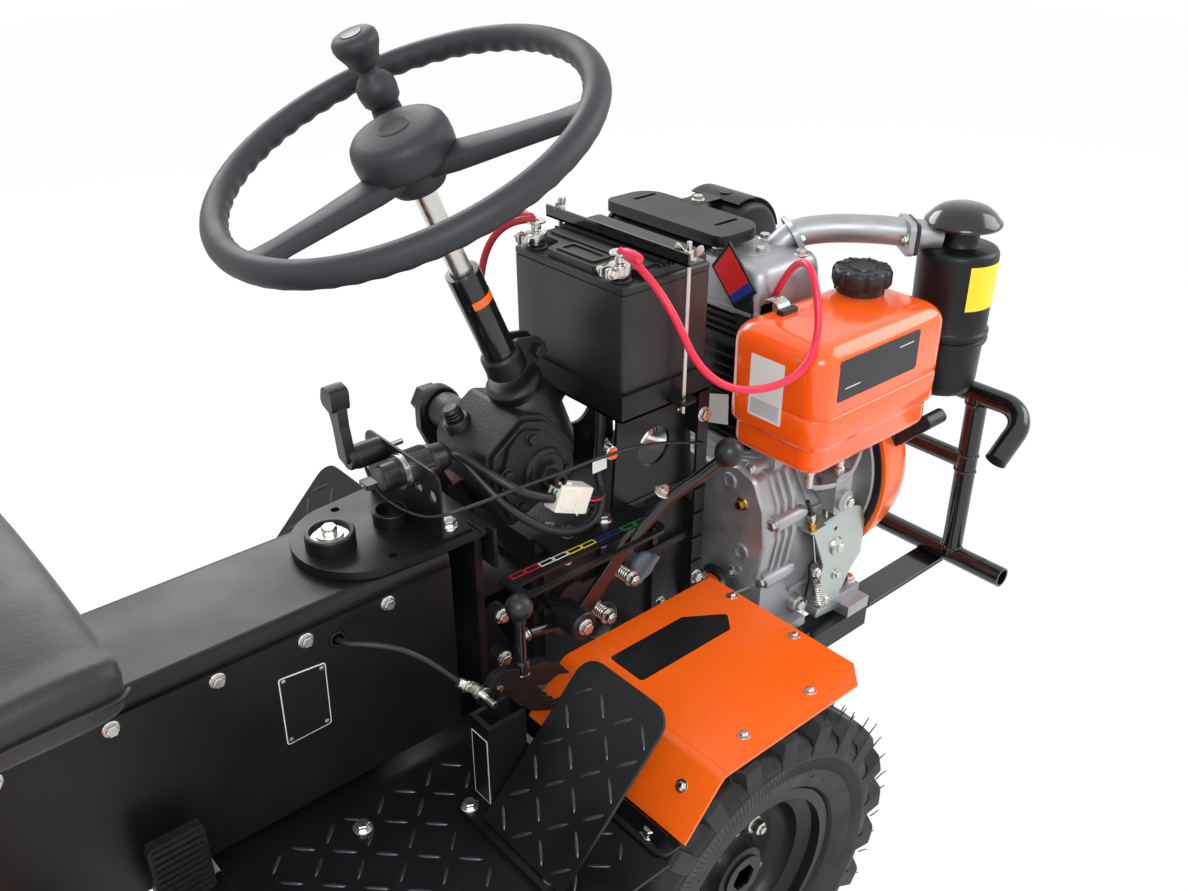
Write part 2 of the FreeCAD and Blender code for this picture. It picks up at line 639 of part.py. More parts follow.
for side_name, side in (("left", 1), ("right", -1)):
    face = s.tunnel_half_width + SEAT
    cover_top = s.tunnel_top - s.side_plate_drop
    hole = [(ahead(-s.cable_hole_back), s.cable_hole_height, s.cable_hole)] if side < 0 else []
    cover = plate("XZ", [
        (tail_x + 90, s.tunnel_bottom + 2), (nose_x - 2, s.tunnel_bottom + 2), (nose_x - 2, cover_top),
        (tail_x + 90, cover_top),
    ], face if side > 0 else -face - s.side_plate_wall, s.side_plate_wall, holes=hole)
    node(f"tunnel_cover_{side_name}", cover)
horn_root = s.tunnel_half_width + s.side_plate_wall + 2 * SEAT
horn_low = horn_height - 14 - s.horn_wall
horn = plate("XY", [
    (pivot_x - 45, horn_root), (pivot_x - 14, s.pitman_side + 14), (pivot_x + 14, s.pitman_side + 14),
    (pivot_x + 45, horn_root),
], horn_low, s.horn_wall, rounding=13, corners=(1, 2))
palm = block((pivot_x - 52, pivot_x + 52), (horn_root, horn_root + 8),
             (horn_low - 22, horn_low + s.horn_wall + 18))
web = plate("YZ", [(horn_root, horn_low + 1), (horn_root, horn_low - 22), (s.pitman_side - 20, horn_low + 1)],
            pivot_x - 5, 10)
node("steering_horn", join(horn, palm, web))

# ---------------------------------------------------------------- floor, fenders and treadles
notch = s.ear_half_width + SEAT
deck = plate("XY", [
    (ahead(-s.floor_rear_back), -s.half_width), (ahead(-s.floor_front_back), -s.half_width),
    (ahead(-s.floor_front_back), -notch), (yoke_x - SEAT, -notch),
    (yoke_x - SEAT, notch), (ahead(-s.floor_front_back), notch),
    (ahead(-s.floor_front_back), s.half_width), (ahead(-s.floor_rear_back), s.half_width),
], s.floor_top - s.floor_wall, s.floor_wall)
parts = [deck]
for side in (-1, 1):
    flap = plate("XZ", [
        (ahead(-s.floor_front_back), s.floor_top - s.floor_wall), (ahead(-s.floor_front_back), s.floor_top),
        (ahead(-s.floor_front_back + 14), s.fender_slope_height + 5),
        (ahead(-s.floor_front_back + 18), s.fender_slope_height + 1),
    ], s.flap_inner if side > 0 else -s.half_width + 20, s.half_width - 20 - s.flap_inner)
    parts.append(flap)
    parts.append(block((ahead(-s.floor_rear_back), ahead(-s.floor_rear_back + 3)),
                       (-s.half_width, s.half_width), (s.floor_top - 22, s.floor_top - s.floor_wall)))
node("front_floor", join(*parts))
bearer_top = s.floor_top - s.floor_wall - SEAT
parts = [block((yoke_x - 12.3, yoke_x - SEAT), (-cross, cross), (bearer_top - 40, bearer_top))]
for side in (-1, 1):
    parts.append(block((ahead(-s.floor_rear_back + 20), yoke_x - 12.3), (side * 120, side * 150),
                       (bearer_top - 25, bearer_top)))
node("floor_bearers", join(*parts))


def fender(label, axle_x, side, way, inner_edge):
    """Flat top with one chamfered corner, a slope towards the pivot and an inner upstand."""
    top = s.fender_top
    under = top - s.fender_wall
    width = s.half_width - inner_edge
    tip = axle_x + way * s.fender_front
    bend = axle_x - way * s.fender_rear
    foot = axle_x - way * s.fender_slope_foot
    y_low = inner_edge if side > 0 else -s.half_width
    section = [(tip, under), (tip, top), (bend, top), (foot, s.fender_slope_height),
               (foot - way * 2, s.fender_slope_height - 2), (bend - way * 1.5, under)]
    sheet_metal = plate("XZ", section, y_low, width)
    nip = s.fender_chamfer
    corner = plate("XY", [(tip - way * nip, side * s.half_width), (tip + way, side * (s.half_width + 1)),
                          (tip + way, side * (s.half_width - nip))], under - 1, s.fender_wall + 2)
    edge = [inner_edge, inner_edge + s.fender_wall]
    lip = block((bend, tip), [side * v for v in edge], (under - s.fender_upstand, under))
    return node(label, join(cut(sheet_metal, corner), lip))


def treadle(label, side, inner):
    """Foot pedal: strap on the floor, folded channel post, leaning tread plate with round top corners."""
    base = s.floor_top + SEAT
    wall = s.treadle_wall
    strap_top = base + s.strap_wall
    tip = s.half_width - s.treadle_inset
    strap = block((ahead(-s.treadle_back - 10), ahead(-s.treadle_back + 14)),
                  (side * inner, side * tip), (base, strap_top))
    post = (ahead(-s.post_back), ahead(-s.post_back + s.post_depth))
    outer = inner + s.post_width
    back = block((post[0], post[0] + wall), (side * inner, side * outer), (base, s.post_top))
    cheeks = [block(post, (side * a, side * (a + wall)), (base, s.post_top)) for a in (inner, outer - wall)]
    # tread plate drawn flat, then leaned forward at 45 degrees about its foot
    width = tip - outer
    tread = plate("XY", [
        (0, 0), (s.treadle_length, 0), (s.treadle_length, width), (0, width),
    ], 0, wall, rounding=22, corners=(1, 2))
    put(tread, ahead(-s.treadle_back + 2), outer if side > 0 else -tip, strap_top,
        axis=(0, 1, 0), angle=-45)
    brace = plate("XZ", [
        (ahead(-s.treadle_back + 4), strap_top), (ahead(-s.treadle_back + 95), base + 98),
        (ahead(-s.treadle_back + 60), base + 20), (ahead(-s.treadle_back + 20), base + 3),
    ], side * (outer + 50) - 3, 6)
    return node(label, join(strap, back, tread, brace, *cheeks))


for side_name, side in (("left", 1), ("right", -1)):
    fender(f"front_fender_{side_name}", front_axle_x, side, 1, s.fender_inner)
    fender(f"rear_fender_{side_name}", rear_axle_x, side, -1, s.tunnel_half_width + s.side_plate_wall + 2 * SEAT)
brake_inner = s.half_width - s.brake_inset
treadle("clutch_pedal", 1, s.half_width - s.clutch_inset)
treadle("brake_pedal", -1, brake_inner)

# ---------------------------------------------------------------- battery
base = s.battery_top - s.battery_height
by = s.battery_width / 2
bx = ahead(s.battery_ahead)
shoulder = s.battery_top - s.battery_lid
parts = [
    block((bx, bx + s.battery_length), (-by, by), (base, shoulder)),
    block((bx + 2.5, bx + s.battery_length - 2.5), (-by + 2.5, by - 2.5), (shoulder, s.battery_top - 5)),
    block((bx + 30, bx + s.battery_length - 4), (-by + 5, by - 5), (s.battery_top - 5, s.battery_top)),
]
for side in (-1, 1):
    parts.append(rod(s.terminal_radius, (bx + 16, side * (by - 24), s.battery_top - 5), s.terminal_height))
node("battery", join(*parts))
wall = s.tray_wall
tray = cut(
    block((bx - wall - SEAT, bx + s.battery_length + wall + SEAT), (-by - wall - SEAT, by + wall + SEAT),
          (base - wall - SEAT, base + s.tray_lip)),
    block((bx - SEAT, bx + s.battery_length + SEAT), (-by - SEAT, by + SEAT), (base - SEAT, base + 200)))
lugs = [cut(block((bx + s.clamp_ahead - 12, bx + s.clamp_ahead + 12), (side * (by + wall), side * (by + 26)),
                  (base + 2, base + 6)),
            rod(s.clamp_rod + SEAT, (bx + s.clamp_ahead, side * (by + s.clamp_reach), base - 1), 12))
        for side in (-1, 1)]
node("battery_tray", join(tray, *lugs))
parts = [
    block((bx + s.clamp_ahead - s.clamp_bar / 2, bx + s.clamp_ahead + s.clamp_bar / 2), (-by - 26, by + 26),
          (s.battery_top + SEAT, s.battery_top + 4)),
    block((bx + s.clamp_ahead - s.clamp_bar / 2, bx + s.clamp_ahead - s.clamp_bar / 2 + 3), (-by - 26, by + 26),
          (s.battery_top + SEAT, s.battery_top + 16)),
]
for side in (-1, 1):
    y = side * (by + s.clamp_reach)
    parts.append(rod(s.clamp_rod, (bx + s.clamp_ahead, y, base - 8), s.battery_height + 38))
    parts.append(block((bx + s.clamp_ahead - 15, bx + s.clamp_ahead + 15), (y - 2, y + 2),
                       (s.battery_top + 14, s.battery_top + 26)))
    parts.append(rod(7, (bx + s.clamp_ahead, y, s.battery_top + 4), 12))
node("battery_clamp", join(*parts))

# ---------------------------------------------------------------- engine
ex = ahead(s.engine_ahead)
cy = -s.crank_side
half = s.case_half_width
parts = [plate("YZ", [
    (cy - half, s.case_bottom + SEAT), (cy + half, s.case_bottom + SEAT), (cy + half, s.case_top - 60),
    (cy + half - 40, s.case_top), (cy - half + 40, s.case_top), (cy - half, s.case_top - 60),
], ex, s.case_length)]
# timing gear cover on the end that faces the gearbox
parts.append(rod(s.cover_radius, (ex - s.cover_depth, cy, s.crank_height - 30), s.cover_depth, "X"))
parts.append(rod(62, (ex - s.cover_depth, cy - 62, s.crank_height + 34), s.cover_depth, "X"))
parts.append(rod(44, (ex - s.cover_depth - 8, cy - 62, s.crank_height + 34), 8, "X"))
bolt_circle = SIZES["cover_radius"] - 10
for i in range(10):
    angle = math.radians(36 * i + 12)
    parts.append(rod(9, (ex - s.cover_depth - 6, cy + bolt_circle * math.cos(angle),
                         s.crank_height - 30 + bolt_circle * math.sin(angle)), 6, "X"))
for at in (20, 138):
    parts.append(block((ex + at, ex + at + 26), (cy - half + 10, -s.tank_inner - 10),
                       (s.case_top - 60, s.tank_bottom - SEAT)))
node("engine_block", join(*parts))

barrel_x = ex + 98
parts = [rod(s.bore_radius, (barrel_x, cy, s.case_top + SEAT), s.head_bottom - s.case_top - SEAT)]
for i in range(int(SIZES["fin_count"])):
    low = s.case_top + 14 + i * s.fin_pitch
    parts.append(block((barrel_x - s.fin_half, barrel_x + s.fin_half), (cy - s.fin_half + 2, cy + s.fin_half - 2),
                       (low, low + s.fin_wall)))
parts.append(block((barrel_x - s.fin_half, barrel_x + s.fin_half), (cy - s.fin_half, cy + s.fin_half),
                   (s.head_bottom, s.head_top)))
rocker = plate("XY", [
    (barrel_x - s.fin_half + 10, cy - s.fin_half + 12), (barrel_x + s.fin_half - 10, cy - s.fin_half + 12),
    (barrel_x + s.fin_half - 10, cy + s.fin_half - 12), (barrel_x - s.fin_half + 10, cy + s.fin_half - 12),
], s.head_top, s.rocker_top - s.head_top, rounding=18)
node("cylinder_head", join(*parts, rocker))

fan_x = ex + s.case_length + SEAT
volute = plate("YZ", [
    (cy - 60, s.crank_height + s.fan_radius - 14), (cy - 60, s.head_bottom + 10), (cy + 60, s.head_bottom + 10),
    (cy + 60, s.crank_height + s.fan_radius - 14),
], fan_x, s.fan_depth - 14)
parts = [cone(s.fan_radius, s.fan_radius - 14, (fan_x, cy, s.crank_height), s.fan_depth, "X"), volute,
         rod(s.starter_radius, (fan_x + s.fan_depth, cy, s.crank_height), s.starter_depth, "X")]
shell = join(*parts)
louvres = []
for i in range(12):
    angle = 30.0 * i
    slot = block((fan_x + s.fan_depth - 6, fan_x + s.fan_depth + 1), (-7, 7),
                 (s.starter_radius + 12, s.fan_radius - 26))
    for axis in "xyz":
        slot.setExpression("Placement.Base." + axis, None)
    slot.Placement = Placement(vec(0, cy, s.crank_height), Rotation(Vector(1, 0, 0), angle)) * Placement(
        vec(fan_x + s.fan_depth - 6, -7, s.starter_radius + 12), Rotation())
    louvres.append(slot)
node("fan_housing", cut(shell, *louvres))

# injection pump side: governor plate, pump body and stop lever on the right of the case
gy = cy - s.case_half_width - SEAT
parts = [
    block((ex + 46, ex + 120), (gy, gy - 5), (s.crank_height - 80, s.crank_height + 20)),
    rod(15, (ex + 60, gy - 5 - 30, s.crank_height + 6), 30, "Y"),
    block((ex + 126, ex + 158), (gy, gy - 34), (s.crank_height - 26, s.crank_height + 44)),
    rod(11, (ex + 142, gy - 17, s.crank_height + 44), 26),
    block((ex + 50, ex + 142), (gy - 8, gy - 14), (s.crank_height - 40, s.crank_height - 30)),
    block((ex + 60, ex + 120), (gy - 4, gy - 9), (s.crank_height - 44, s.crank_height - 24)),
]
node("injection_pump", join(*parts))

# ---------------------------------------------------------------- tank, cleaner, exhaust
tx = ahead(s.tank_ahead)
near = -s.tank_inner
far = near - s.tank_width
tank = plate("XY", [(tx, far), (tx + s.tank_length, far), (tx + s.tank_length, near), (tx, near)],
             s.tank_bottom + s.tank_step, s.tank_height - s.tank_step, rounding=s.tank_round)
top_z = float(s.tank_bottom + s.tank_height)
soften(tank, s.tank_round * 0.6, lambda edge: all(abs(v.Point.z - top_z) < 0.01 for v in edge.Vertexes))
inset = s.tank_inset
skirt = plate("XY", [(tx + inset, far + inset), (tx + s.tank_length - inset, far + inset),
                     (tx + s.tank_length - inset, near - inset), (tx + inset, near - inset)],
              s.tank_bottom, s.tank_step + 1, rounding=s.tank_round)
low_z = float(s.tank_bottom)
soften(skirt, s.tank_round * 0.5, lambda edge: all(abs(v.Point.z - low_z) < 0.01 for v in edge.Vertexes))
filler_x = tx + s.cap_ahead
filler_y = near - s.cap_side
fan_room = rod(s.fan_radius + 4, (fan_x - 4, cy, s.crank_height), s.fan_depth, "X")
node("fuel_tank", cut(join(tank, skirt), fan_room))
cap_z = s.tank_bottom + s.tank_height + SEAT
node("fuel_cap", join(rod(s.cap_radius - 6, (filler_x, filler_y, cap_z), 8),
                      cone(s.cap_radius, s.cap_radius - 5, (filler_x, filler_y, cap_z + 6), s.cap_height - 6)))

clean_x = ahead(s.cleaner_ahead)
r = s.cleaner_radius
body = spun([
    (0, 0), (r - 14, 0), (r - 8, 8), (r - 5, 60), (r - 3, 74), (r, 76), (r, 88), (r - 2, 90),
    (r - 2, s.cleaner_height - 62), (r - 6, s.cleaner_height - 56), (24, s.cleaner_height - 52),
    (22, s.cleaner_height - 26), (r - 14, s.cleaner_height - 24), (r - 12, s.cleaner_height - 20),
    (r - 18, s.cleaner_height - 8), (20, s.cleaner_height), (0, s.cleaner_height),
])
node("air_cleaner", put(body, clean_x, -s.cleaner_side, s.cleaner_bottom))
neck_z = s.rocker_top + 34
elbow_path = [(barrel_x - 20, cy - 20, s.rocker_top + SEAT), (barrel_x - 20, cy - 20, neck_z),
              (clean_x, -s.cleaner_side, neck_z)]
cleaner_space = Part.makeCylinder(SIZES["cleaner_radius"] + SEAT - 2, 400, vec(clean_x, -s.cleaner_side, 600))
elbow = tube_shape(elbow_path, s.elbow_radius).cut(cleaner_space)
foot_flange = Part.makeBox(64, 48, 10, vec(barrel_x - 52, cy - 44, s.rocker_top + SEAT))
node("intake_elbow", made(fused([elbow, foot_flange])))
silencer = rod(s.muffler_radius, (ex + 4, s.muffler_side, s.muffler_height), s.muffler_length, "X")
stub_start = cy + s.fin_half + SEAT
port_height = s.head_top - 32
port = vec(barrel_x, s.muffler_side, port_height)
riser_way = Vector(0, 0, float(s.muffler_height - port_height))
riser = made(Part.makeCylinder(16, riser_way.Length, port, riser_way))
exhaust = [riser, rod(18, (barrel_x, stub_start, port_height), s.muffler_side + 8 - stub_start, "Y")]
shield_r = s.muffler_radius + 10
shield = cut(rod(shield_r + s.shield_wall, (ex + 24, s.muffler_side, s.muffler_height), 140, "X"),
             rod(shield_r, (ex + 23, s.muffler_side, s.muffler_height), 142, "X"),
             block((ex + 20, ex + 170), (s.muffler_side - 100, s.muffler_side + 100),
                   (s.muffler_height - 100, s.muffler_height + 10)))
feet = [block((ex + at, ex + at + 10), (s.muffler_side - 6, s.muffler_side + 6),
              (s.muffler_height + s.muffler_radius - 4, s.muffler_height + shield_r + 1)) for at in (40, 140)]
outlet = rod(14, (ex + 170, s.muffler_side + 20, s.muffler_height - s.muffler_radius - 34), 60)
node("muffler", join(silencer, shield, outlet, *exhaust, *feet))

# ---------------------------------------------------------------- steering gear
sx = ahead(-s.sector_back)
bore = made(Part.makeCylinder(SIZES["shaft_radius"] + SIZES["shaft_play"], 200, on_column(830), up_column))
column = made(Part.makeCylinder(SIZES["column_radius"], (SIZES["column_top"] - 800) / math.cos(rake),
                                on_column(800), up_column))
collar = made(Part.makeCylinder(26, 34, on_column(828), up_column))
worm = made(Part.makeCone(40, 30, 122, on_column(float(sector_height) - 24), up_column))
end_cap = made(Part.makeCylinder(34, 14, on_column(float(sector_height) - 36), up_column))
parts = [
    column, collar, worm, end_cap,
    rod(s.sector_radius, (sx, -44, sector_height), 100, "Y"),
    cone(38, 44, (sx, -60, sector_height), 18, "Y"),
    rod(14, (sx, -70, sector_height), 12, "Y"),
    cone(s.sector_radius - 6, 24, (sx, 54, sector_height), 30, "Y"),
    rod(17, (sx, 60, sector_height), s.pitman_side - 60 - 10 - SEAT, "Y"),
    block((sx - 42, sx + 78), (-52, 52), (s.gearbox_top + s.lid_height + SEAT, s.gearbox_top + s.lid_height + 14)),
    block((sx - 30, sx + 60), (-34, 34), (s.gearbox_top + s.lid_height + 10, sector_height - 20)),
]
for i in range(4):
    angle = math.radians(90 * i + 45)
    parts.append(rod(8, (sx + 36 * math.cos(angle), -66, sector_height + 36 * math.sin(angle)), 12, "Y"))
node("steering_box", cut(join(*parts), bore))

spokes = []
grip = Part.makeTorus(SIZES["grip_circle"], SIZES["grip_radius"], on_column(SIZES["wheel_height"]), up_column)
hub_low = on_column(SIZES["wheel_height"] - 46)
cap_r = SIZES["hub_cap_radius"]
hub_profile = [(0, 0), (28, 0), (34, 20), (cap_r, 30), (cap_r, 52), (cap_r - 8, 62), (20, 66), (0, 66)]
hub_wire = Part.makePolygon([Vector(r, 0, z) for r, z in hub_profile + hub_profile[:1]])
hub_solid = Part.Face(hub_wire).revolve(Vector(), Vector(0, 0, 1), 360)
hub_solid.Placement = Placement(hub_low, Rotation(Vector(0, 0, 1), up_column))
shapes = [grip, hub_solid]
for turn_degrees in (180, 60, -60):
    turn_degrees += SIZES["spoke_turn"]
    heading = Rotation(up_column, turn_degrees).multVec(out_column)
    across = up_column.cross(heading)
    near_end = on_column(SIZES["wheel_height"] - 14) + heading * 30
    far_end = on_column(SIZES["wheel_height"] - 2) + heading * (SIZES["grip_circle"] - 4)
    outlines = []
    for centre, wide, thick in ((near_end, 21, 11), (far_end, 15, 8)):
        outlines.append(Part.makePolygon([
            centre + across * a * wide + up_column * b * thick
            for a, b in ((-1, -0.4), (-0.7, -1), (0.7, -1), (1, -0.4), (0.8, 1), (-0.8, 1), (-1, -0.4))]))
    spokes.append(Part.makeLoft(outlines, True, True))
grip_wheel = fused(shapes + spokes)
# spinner knob clamped on the front left spoke
heading = Rotation(up_column, 60 + SIZES["spoke_turn"]).multVec(out_column)
knob_foot = on_column(SIZES["wheel_height"] - 4) + heading * SIZES["knob_reach"]
knob_r = SIZES["knob_radius"]
knob_profile = [(0, 0), (16, 0), (18, 22), (9, 30), (9, 46), (14, 52), (knob_r, 60), (knob_r + 1, 72),
                (knob_r - 6, 78), (0, 76)]
knob_wire = Part.makePolygon([Vector(r, 0, z) for r, z in knob_profile + knob_profile[:1]])
knob = Part.Face(knob_wire).revolve(Vector(), Vector(0, 0, 1), 360)
knob.Placement = Placement(knob_foot, Rotation(Vector(0, 0, 1), up_column))
node("steering_wheel", made(fused([grip_wheel, knob])))
shaft_length = (SIZES["wheel_height"] - 46 - 840) / math.cos(rake) + 46 * (1 / math.cos(rake) - 1)
shaft_end = hub_low - up_column * SEAT
shaft_start = on_column(840)
node("steering_shaft", made(Part.makeCylinder(SIZES["shaft_radius"], (shaft_end - shaft_start).Length,
                                              shaft_start, up_column)))

arm = plate("XZ", [
    (sx - 24, sector_height + 20), (sx - 13, horn_height - 14), (sx + 13, horn_height - 14),
    (sx + 24, sector_height + 20),
], s.pitman_side - 10, 14, rounding=11)
nut = rod(15, (sx, s.pitman_side + 4, sector_height), 16, "Y")
node("pitman_arm", join(arm, nut))
link_y = s.pitman_side + 14
link = rod(s.link_radius, (pivot_x, link_y, horn_height), s.pivot_back - s.sector_back, "X")
sleeves = [rod(s.link_radius + 3, (pivot_x + at, link_y, horn_height), 34, "X") for at in (14, 170)]
eye_front = rod(13, (sx, s.pitman_side + 4 + SEAT, horn_height), 20, "Y")
eye_rear = rod(13, (pivot_x, s.pitman_side - 2, horn_height - 14 + SEAT), 26)
node("drag_link", join(link, eye_front, eye_rear, *sleeves))

# ---------------------------------------------------------------- controls
ear_top = ear_under + s.ear_thick
panel_x = ahead(-s.panel_back)
panel_foot = ear_top + SEAT
switch_axis = s.panel_top - 22
lever_axis = s.panel_top - 14
panel = plate("YZ", [(-s.panel_half, panel_foot), (s.panel_half, panel_foot), (s.panel_half, s.panel_top),
                     (-s.panel_half, s.panel_top)], panel_x, s.panel_wall, rounding=12, corners=(2, 3),
              holes=[(-32, s.panel_top - 30, 7), (-59, s.panel_top - 31, 7)])
parts = [
    panel,
    block((panel_x, panel_x + 38), (-s.panel_half, s.panel_half), (panel_foot, panel_foot + s.panel_wall)),
    # ignition switch: key barrel, collar, ribbed nut and rubber boot on one axis
    rod(16, (panel_x - 30, -s.switch_side, switch_axis), 30, "X"),
    rod(20, (panel_x - 8, -s.switch_side, switch_axis), 8, "X"),
    rod(21, (panel_x + s.panel_wall, -s.switch_side, switch_axis), 26, "X"),
    cone(19, 14, (panel_x + s.panel_wall + 26, -s.switch_side, switch_axis), 27, "X"),
    block((panel_x - 44, panel_x - 30), (-s.switch_side - 9, -s.switch_side + 9),
          (switch_axis - 3, switch_axis + 3)),
    # throttle lever: hub, arm with a thumb pad, clamp stud
    rod(14, (panel_x - 42, s.lever_side, lever_axis), 42, "X"),
    rod(4, (panel_x, s.lever_side, lever_axis), 28, "X"),
    plate("YZ", [
        (s.lever_side - 8, lever_axis - 6), (s.lever_side + 9, lever_axis), (s.lever_side + 14, lever_axis + 36),
        (s.lever_side + 27, lever_axis + 70), (s.lever_side + 19, lever_axis + 84),
        (s.lever_side + 4, lever_axis + 80), (s.lever_side + 2, lever_axis + 40),
    ], panel_x - 42, 7, rounding=4),
]
node("control_bracket", join(*parts))

# shift gate: a flat plate on the gearbox lid, with a long round-ended slot for the lever
gate_low = s.gearbox_top + s.lid_height + SEAT
outer_edge = -s.gate_side - 8
gate = plate("XY", [
    (ahead(-184), outer_edge), (ahead(28), outer_edge), (ahead(28), -s.gearbox_half - 2 * SEAT),
    (ahead(-8) - SEAT, -s.gearbox_half - 2 * SEAT), (ahead(-8) - SEAT, -58), (ahead(-105), -58),
    (ahead(-105), -107), (ahead(-184), -107),
], gate_low, s.gate_wall, rounding=12, corners=(0, 1))
slot = plate("XY", [
    (ahead(-174), outer_edge + 8), (ahead(18), outer_edge + 8), (ahead(18), outer_edge + 8 + s.gate_slot),
    (ahead(-174), outer_edge + 8 + s.gate_slot),
], gate_low - 1, s.gate_wall + 2, rounding=10, corners=(0, 1, 2, 3))
node("gear_gate", cut(gate, slot))
knob_at = vec(ahead(71), -200, 753)
shapes = [
    tube_shape([(ahead(-70), -118, 560), (ahead(-60), -123, 600), (ahead(-24), -129, 638),
                (ahead(-4), -133, 664), (ahead(28), -152, 692), (ahead(56), -180, 722), (ahead(71), -200, 753)], 7),
    Part.makeSphere(17, knob_at),
    Part.makeCylinder(9, 40, vec(ahead(-70), -s.gearbox_half - 14 - SEAT, 560), Vector(0, -1, 0)),
]
node("gear_lever", made(fused(shapes)))
latch_x = ahead(-s.latch_back)
latch_side = s.half_width - s.latch_inset
# parking latch on the brake pedal's post: beaked pawl, toothed sector below it, rod and ball
pawl_outline = [
    (-250, 556), (-250, 572), (-242, 582), (-226, 583), (-200, 573), (-175, 568), (-156, 556), (-140, 533),
    (-158, 541), (-172, 536), (-188, 541), (-200, 549), (-218, 553),
]
sector_outline = [
    (-224, 556), (-200, 550), (-188, 540), (-178, 528), (-184, 523), (-171, 518), (-176, 512), (-163, 508),
    (-166, 501), (-150, 498), (-160, 489), (-190, 504), (-212, 526), (-226, 546),
]


def latch_plate(outline, width):
    """Upright plate at the latch's side, from (ahead, up) points."""
    rise = s.post_top - 561
    spots = [(ahead(forward), up + rise) for forward, up in outline]
    return plate("XZ", spots, -latch_side - width / 2, width)


knob = put(doc.addObject("Part::Sphere", "Knob"), latch_x, -latch_side, s.latch_top)
bind(knob, "Radius", s.latch_knob)
node("brake_latch", join(
    latch_plate(pawl_outline, 12), latch_plate(sector_outline, 6),
    rod(4, (ahead(-238), -latch_side - 7.7, s.post_top + 4), 15.4, "Y"),
    rod(6, (latch_x, -latch_side, s.post_top + 2), s.latch_top - s.post_top - 2),
    rod(9, (latch_x, -latch_side, s.post_top + 6), 16), knob,
))

# ---------------------------------------------------------------- cables held all along
clamp_z = s.battery_top - 5 + s.terminal_height + SEAT
post_x = bx + 16
post_y = by - 24
right_route = [
    (post_x, -post_y, clamp_z + 5), (post_x - 6, -by - 46, clamp_z + 4), (bx + 40, -by - 100, clamp_z - 150),
    (bx + 190, -by - 134, clamp_z - 150), (bx + 230, -by - 60, clamp_z + 10),
    (barrel_x - 40, cy - s.fin_half + 4, s.rocker_top - 14),
]
left_route = [
    (post_x, post_y, clamp_z + 5), (bx - 34, by + 20, clamp_z + 8), (bx - 40, by + 20, clamp_z - 190),
    (bx + 2, s.gearbox_half + 9 + s.cable_radius + SEAT, s.gearbox_top - 40),
]
cables = []
for route, side in ((right_route, -1), (left_route, 1)):
    lead = tube_shape(route, s.cable_radius)
    lug = Part.makeCylinder(SIZES["terminal_radius"] + 3, 9, vec(post_x, side * post_y, clamp_z))
    cables.append(fused([lead, lug]))
cables[0] = cables[0].cut(Part.makeBox(200, 200, 60, vec(barrel_x - 100, cy - s.fin_half + 12 - SEAT, s.head_top)))
node("battery_cables", made(Part.makeCompound(cables)))


def beside(points):
    """Route points given ahead of the front axle, to the left and up."""
    return [(ahead(forward), left, up) for forward, left, up in points]


loom_radius = 5
# loom from the ignition boot: one leg to the connector, one past it and up to the battery tray
loom_leg = tube_shape(beside([
    (-177.7, -5, 760), (-168, -5, 760), (-158, -34, 750), (-146, -62, 738), (-128, -84, 722),
    (-93, -86, 706),
]), loom_radius)
loom_main = tube_shape(beside([
    (-177.7, -5, 760), (-168, -5, 760), (-160, -38, 736), (-150, -66, 714), (-128, -84, 688),
    (-96, -92, 664), (-58, -92, 650), (-24, -84, 650), (-4, -70, 668), (-3, -58, 698), (5, -54, 728),
    (7, -53, 752), (7, -53, 774.3),
]), loom_radius)
loom_tail = tube_shape(beside([
    (-46, -83, 688), (-26, -82, 678), (-8, -76, 672), (-4, -66, 682),
]), loom_radius - 2)
connector = Part.makeBox(52, 20, 34, Vector(-26, -10, -17))
connector.Placement = Placement(vec(ahead(-68), -84, 697), Rotation(Vector(0, 1, 0), 24))
node("wiring_loom", made(fused([loom_main, loom_leg, loom_tail, connector])))

throttle_route = beside([
    (-255, 40, 752.4), (-253, 36, 734), (-250, 16, 722), (-248, -20, 722), (-246, -58, 730),
    (-242, -82, 740), (-222, -94, 746), (-188, -98, 747), (-140, -101, 748), (-91, -105, 748),
    (-36, -104, 746), (22, -103, 739), (80, -101, 724), (137, -98.3, 700),
])
node("throttle_cable", made(tube_shape(throttle_route, 2)))

# brake cable out of the tunnel's side cover to the clevis at the pedal's stem
hole_x, hole_z = -s.cable_hole_back, s.cable_hole_height
exit_side = horn_root + 10.4
across = brake_inner - exit_side
brake_route = beside([
    (hole_x, -horn_root, hole_z), (hole_x, -exit_side, hole_z),
    (hole_x + 20, -exit_side - across * 0.31, hole_z + 1),
    (hole_x + 48, -exit_side - across * 0.61, hole_z - 9),
    (hole_x + 76, -exit_side - across * 0.87, hole_z - 36),
    (-s.post_back - 10, -brake_inner, s.post_top + 21),
])
clevis_start = vec(*brake_route[-1])
clevis_way = vec(ahead(-s.post_back + 6), -brake_inner - 6, s.post_top + 8) - clevis_start
clevis = Part.makeCylinder(6, clevis_way.Length, clevis_start, clevis_way)
pin_foot = vec(ahead(-s.post_back + 8), -brake_inner - 4, s.post_top + 4 + SEAT)
clevis_pin = Part.makeCylinder(4, 28, pin_foot, Vector(0, -1, 0))
node("brake_cable", made(fused([tube_shape(brake_route, 3.5), clevis, clevis_pin])))

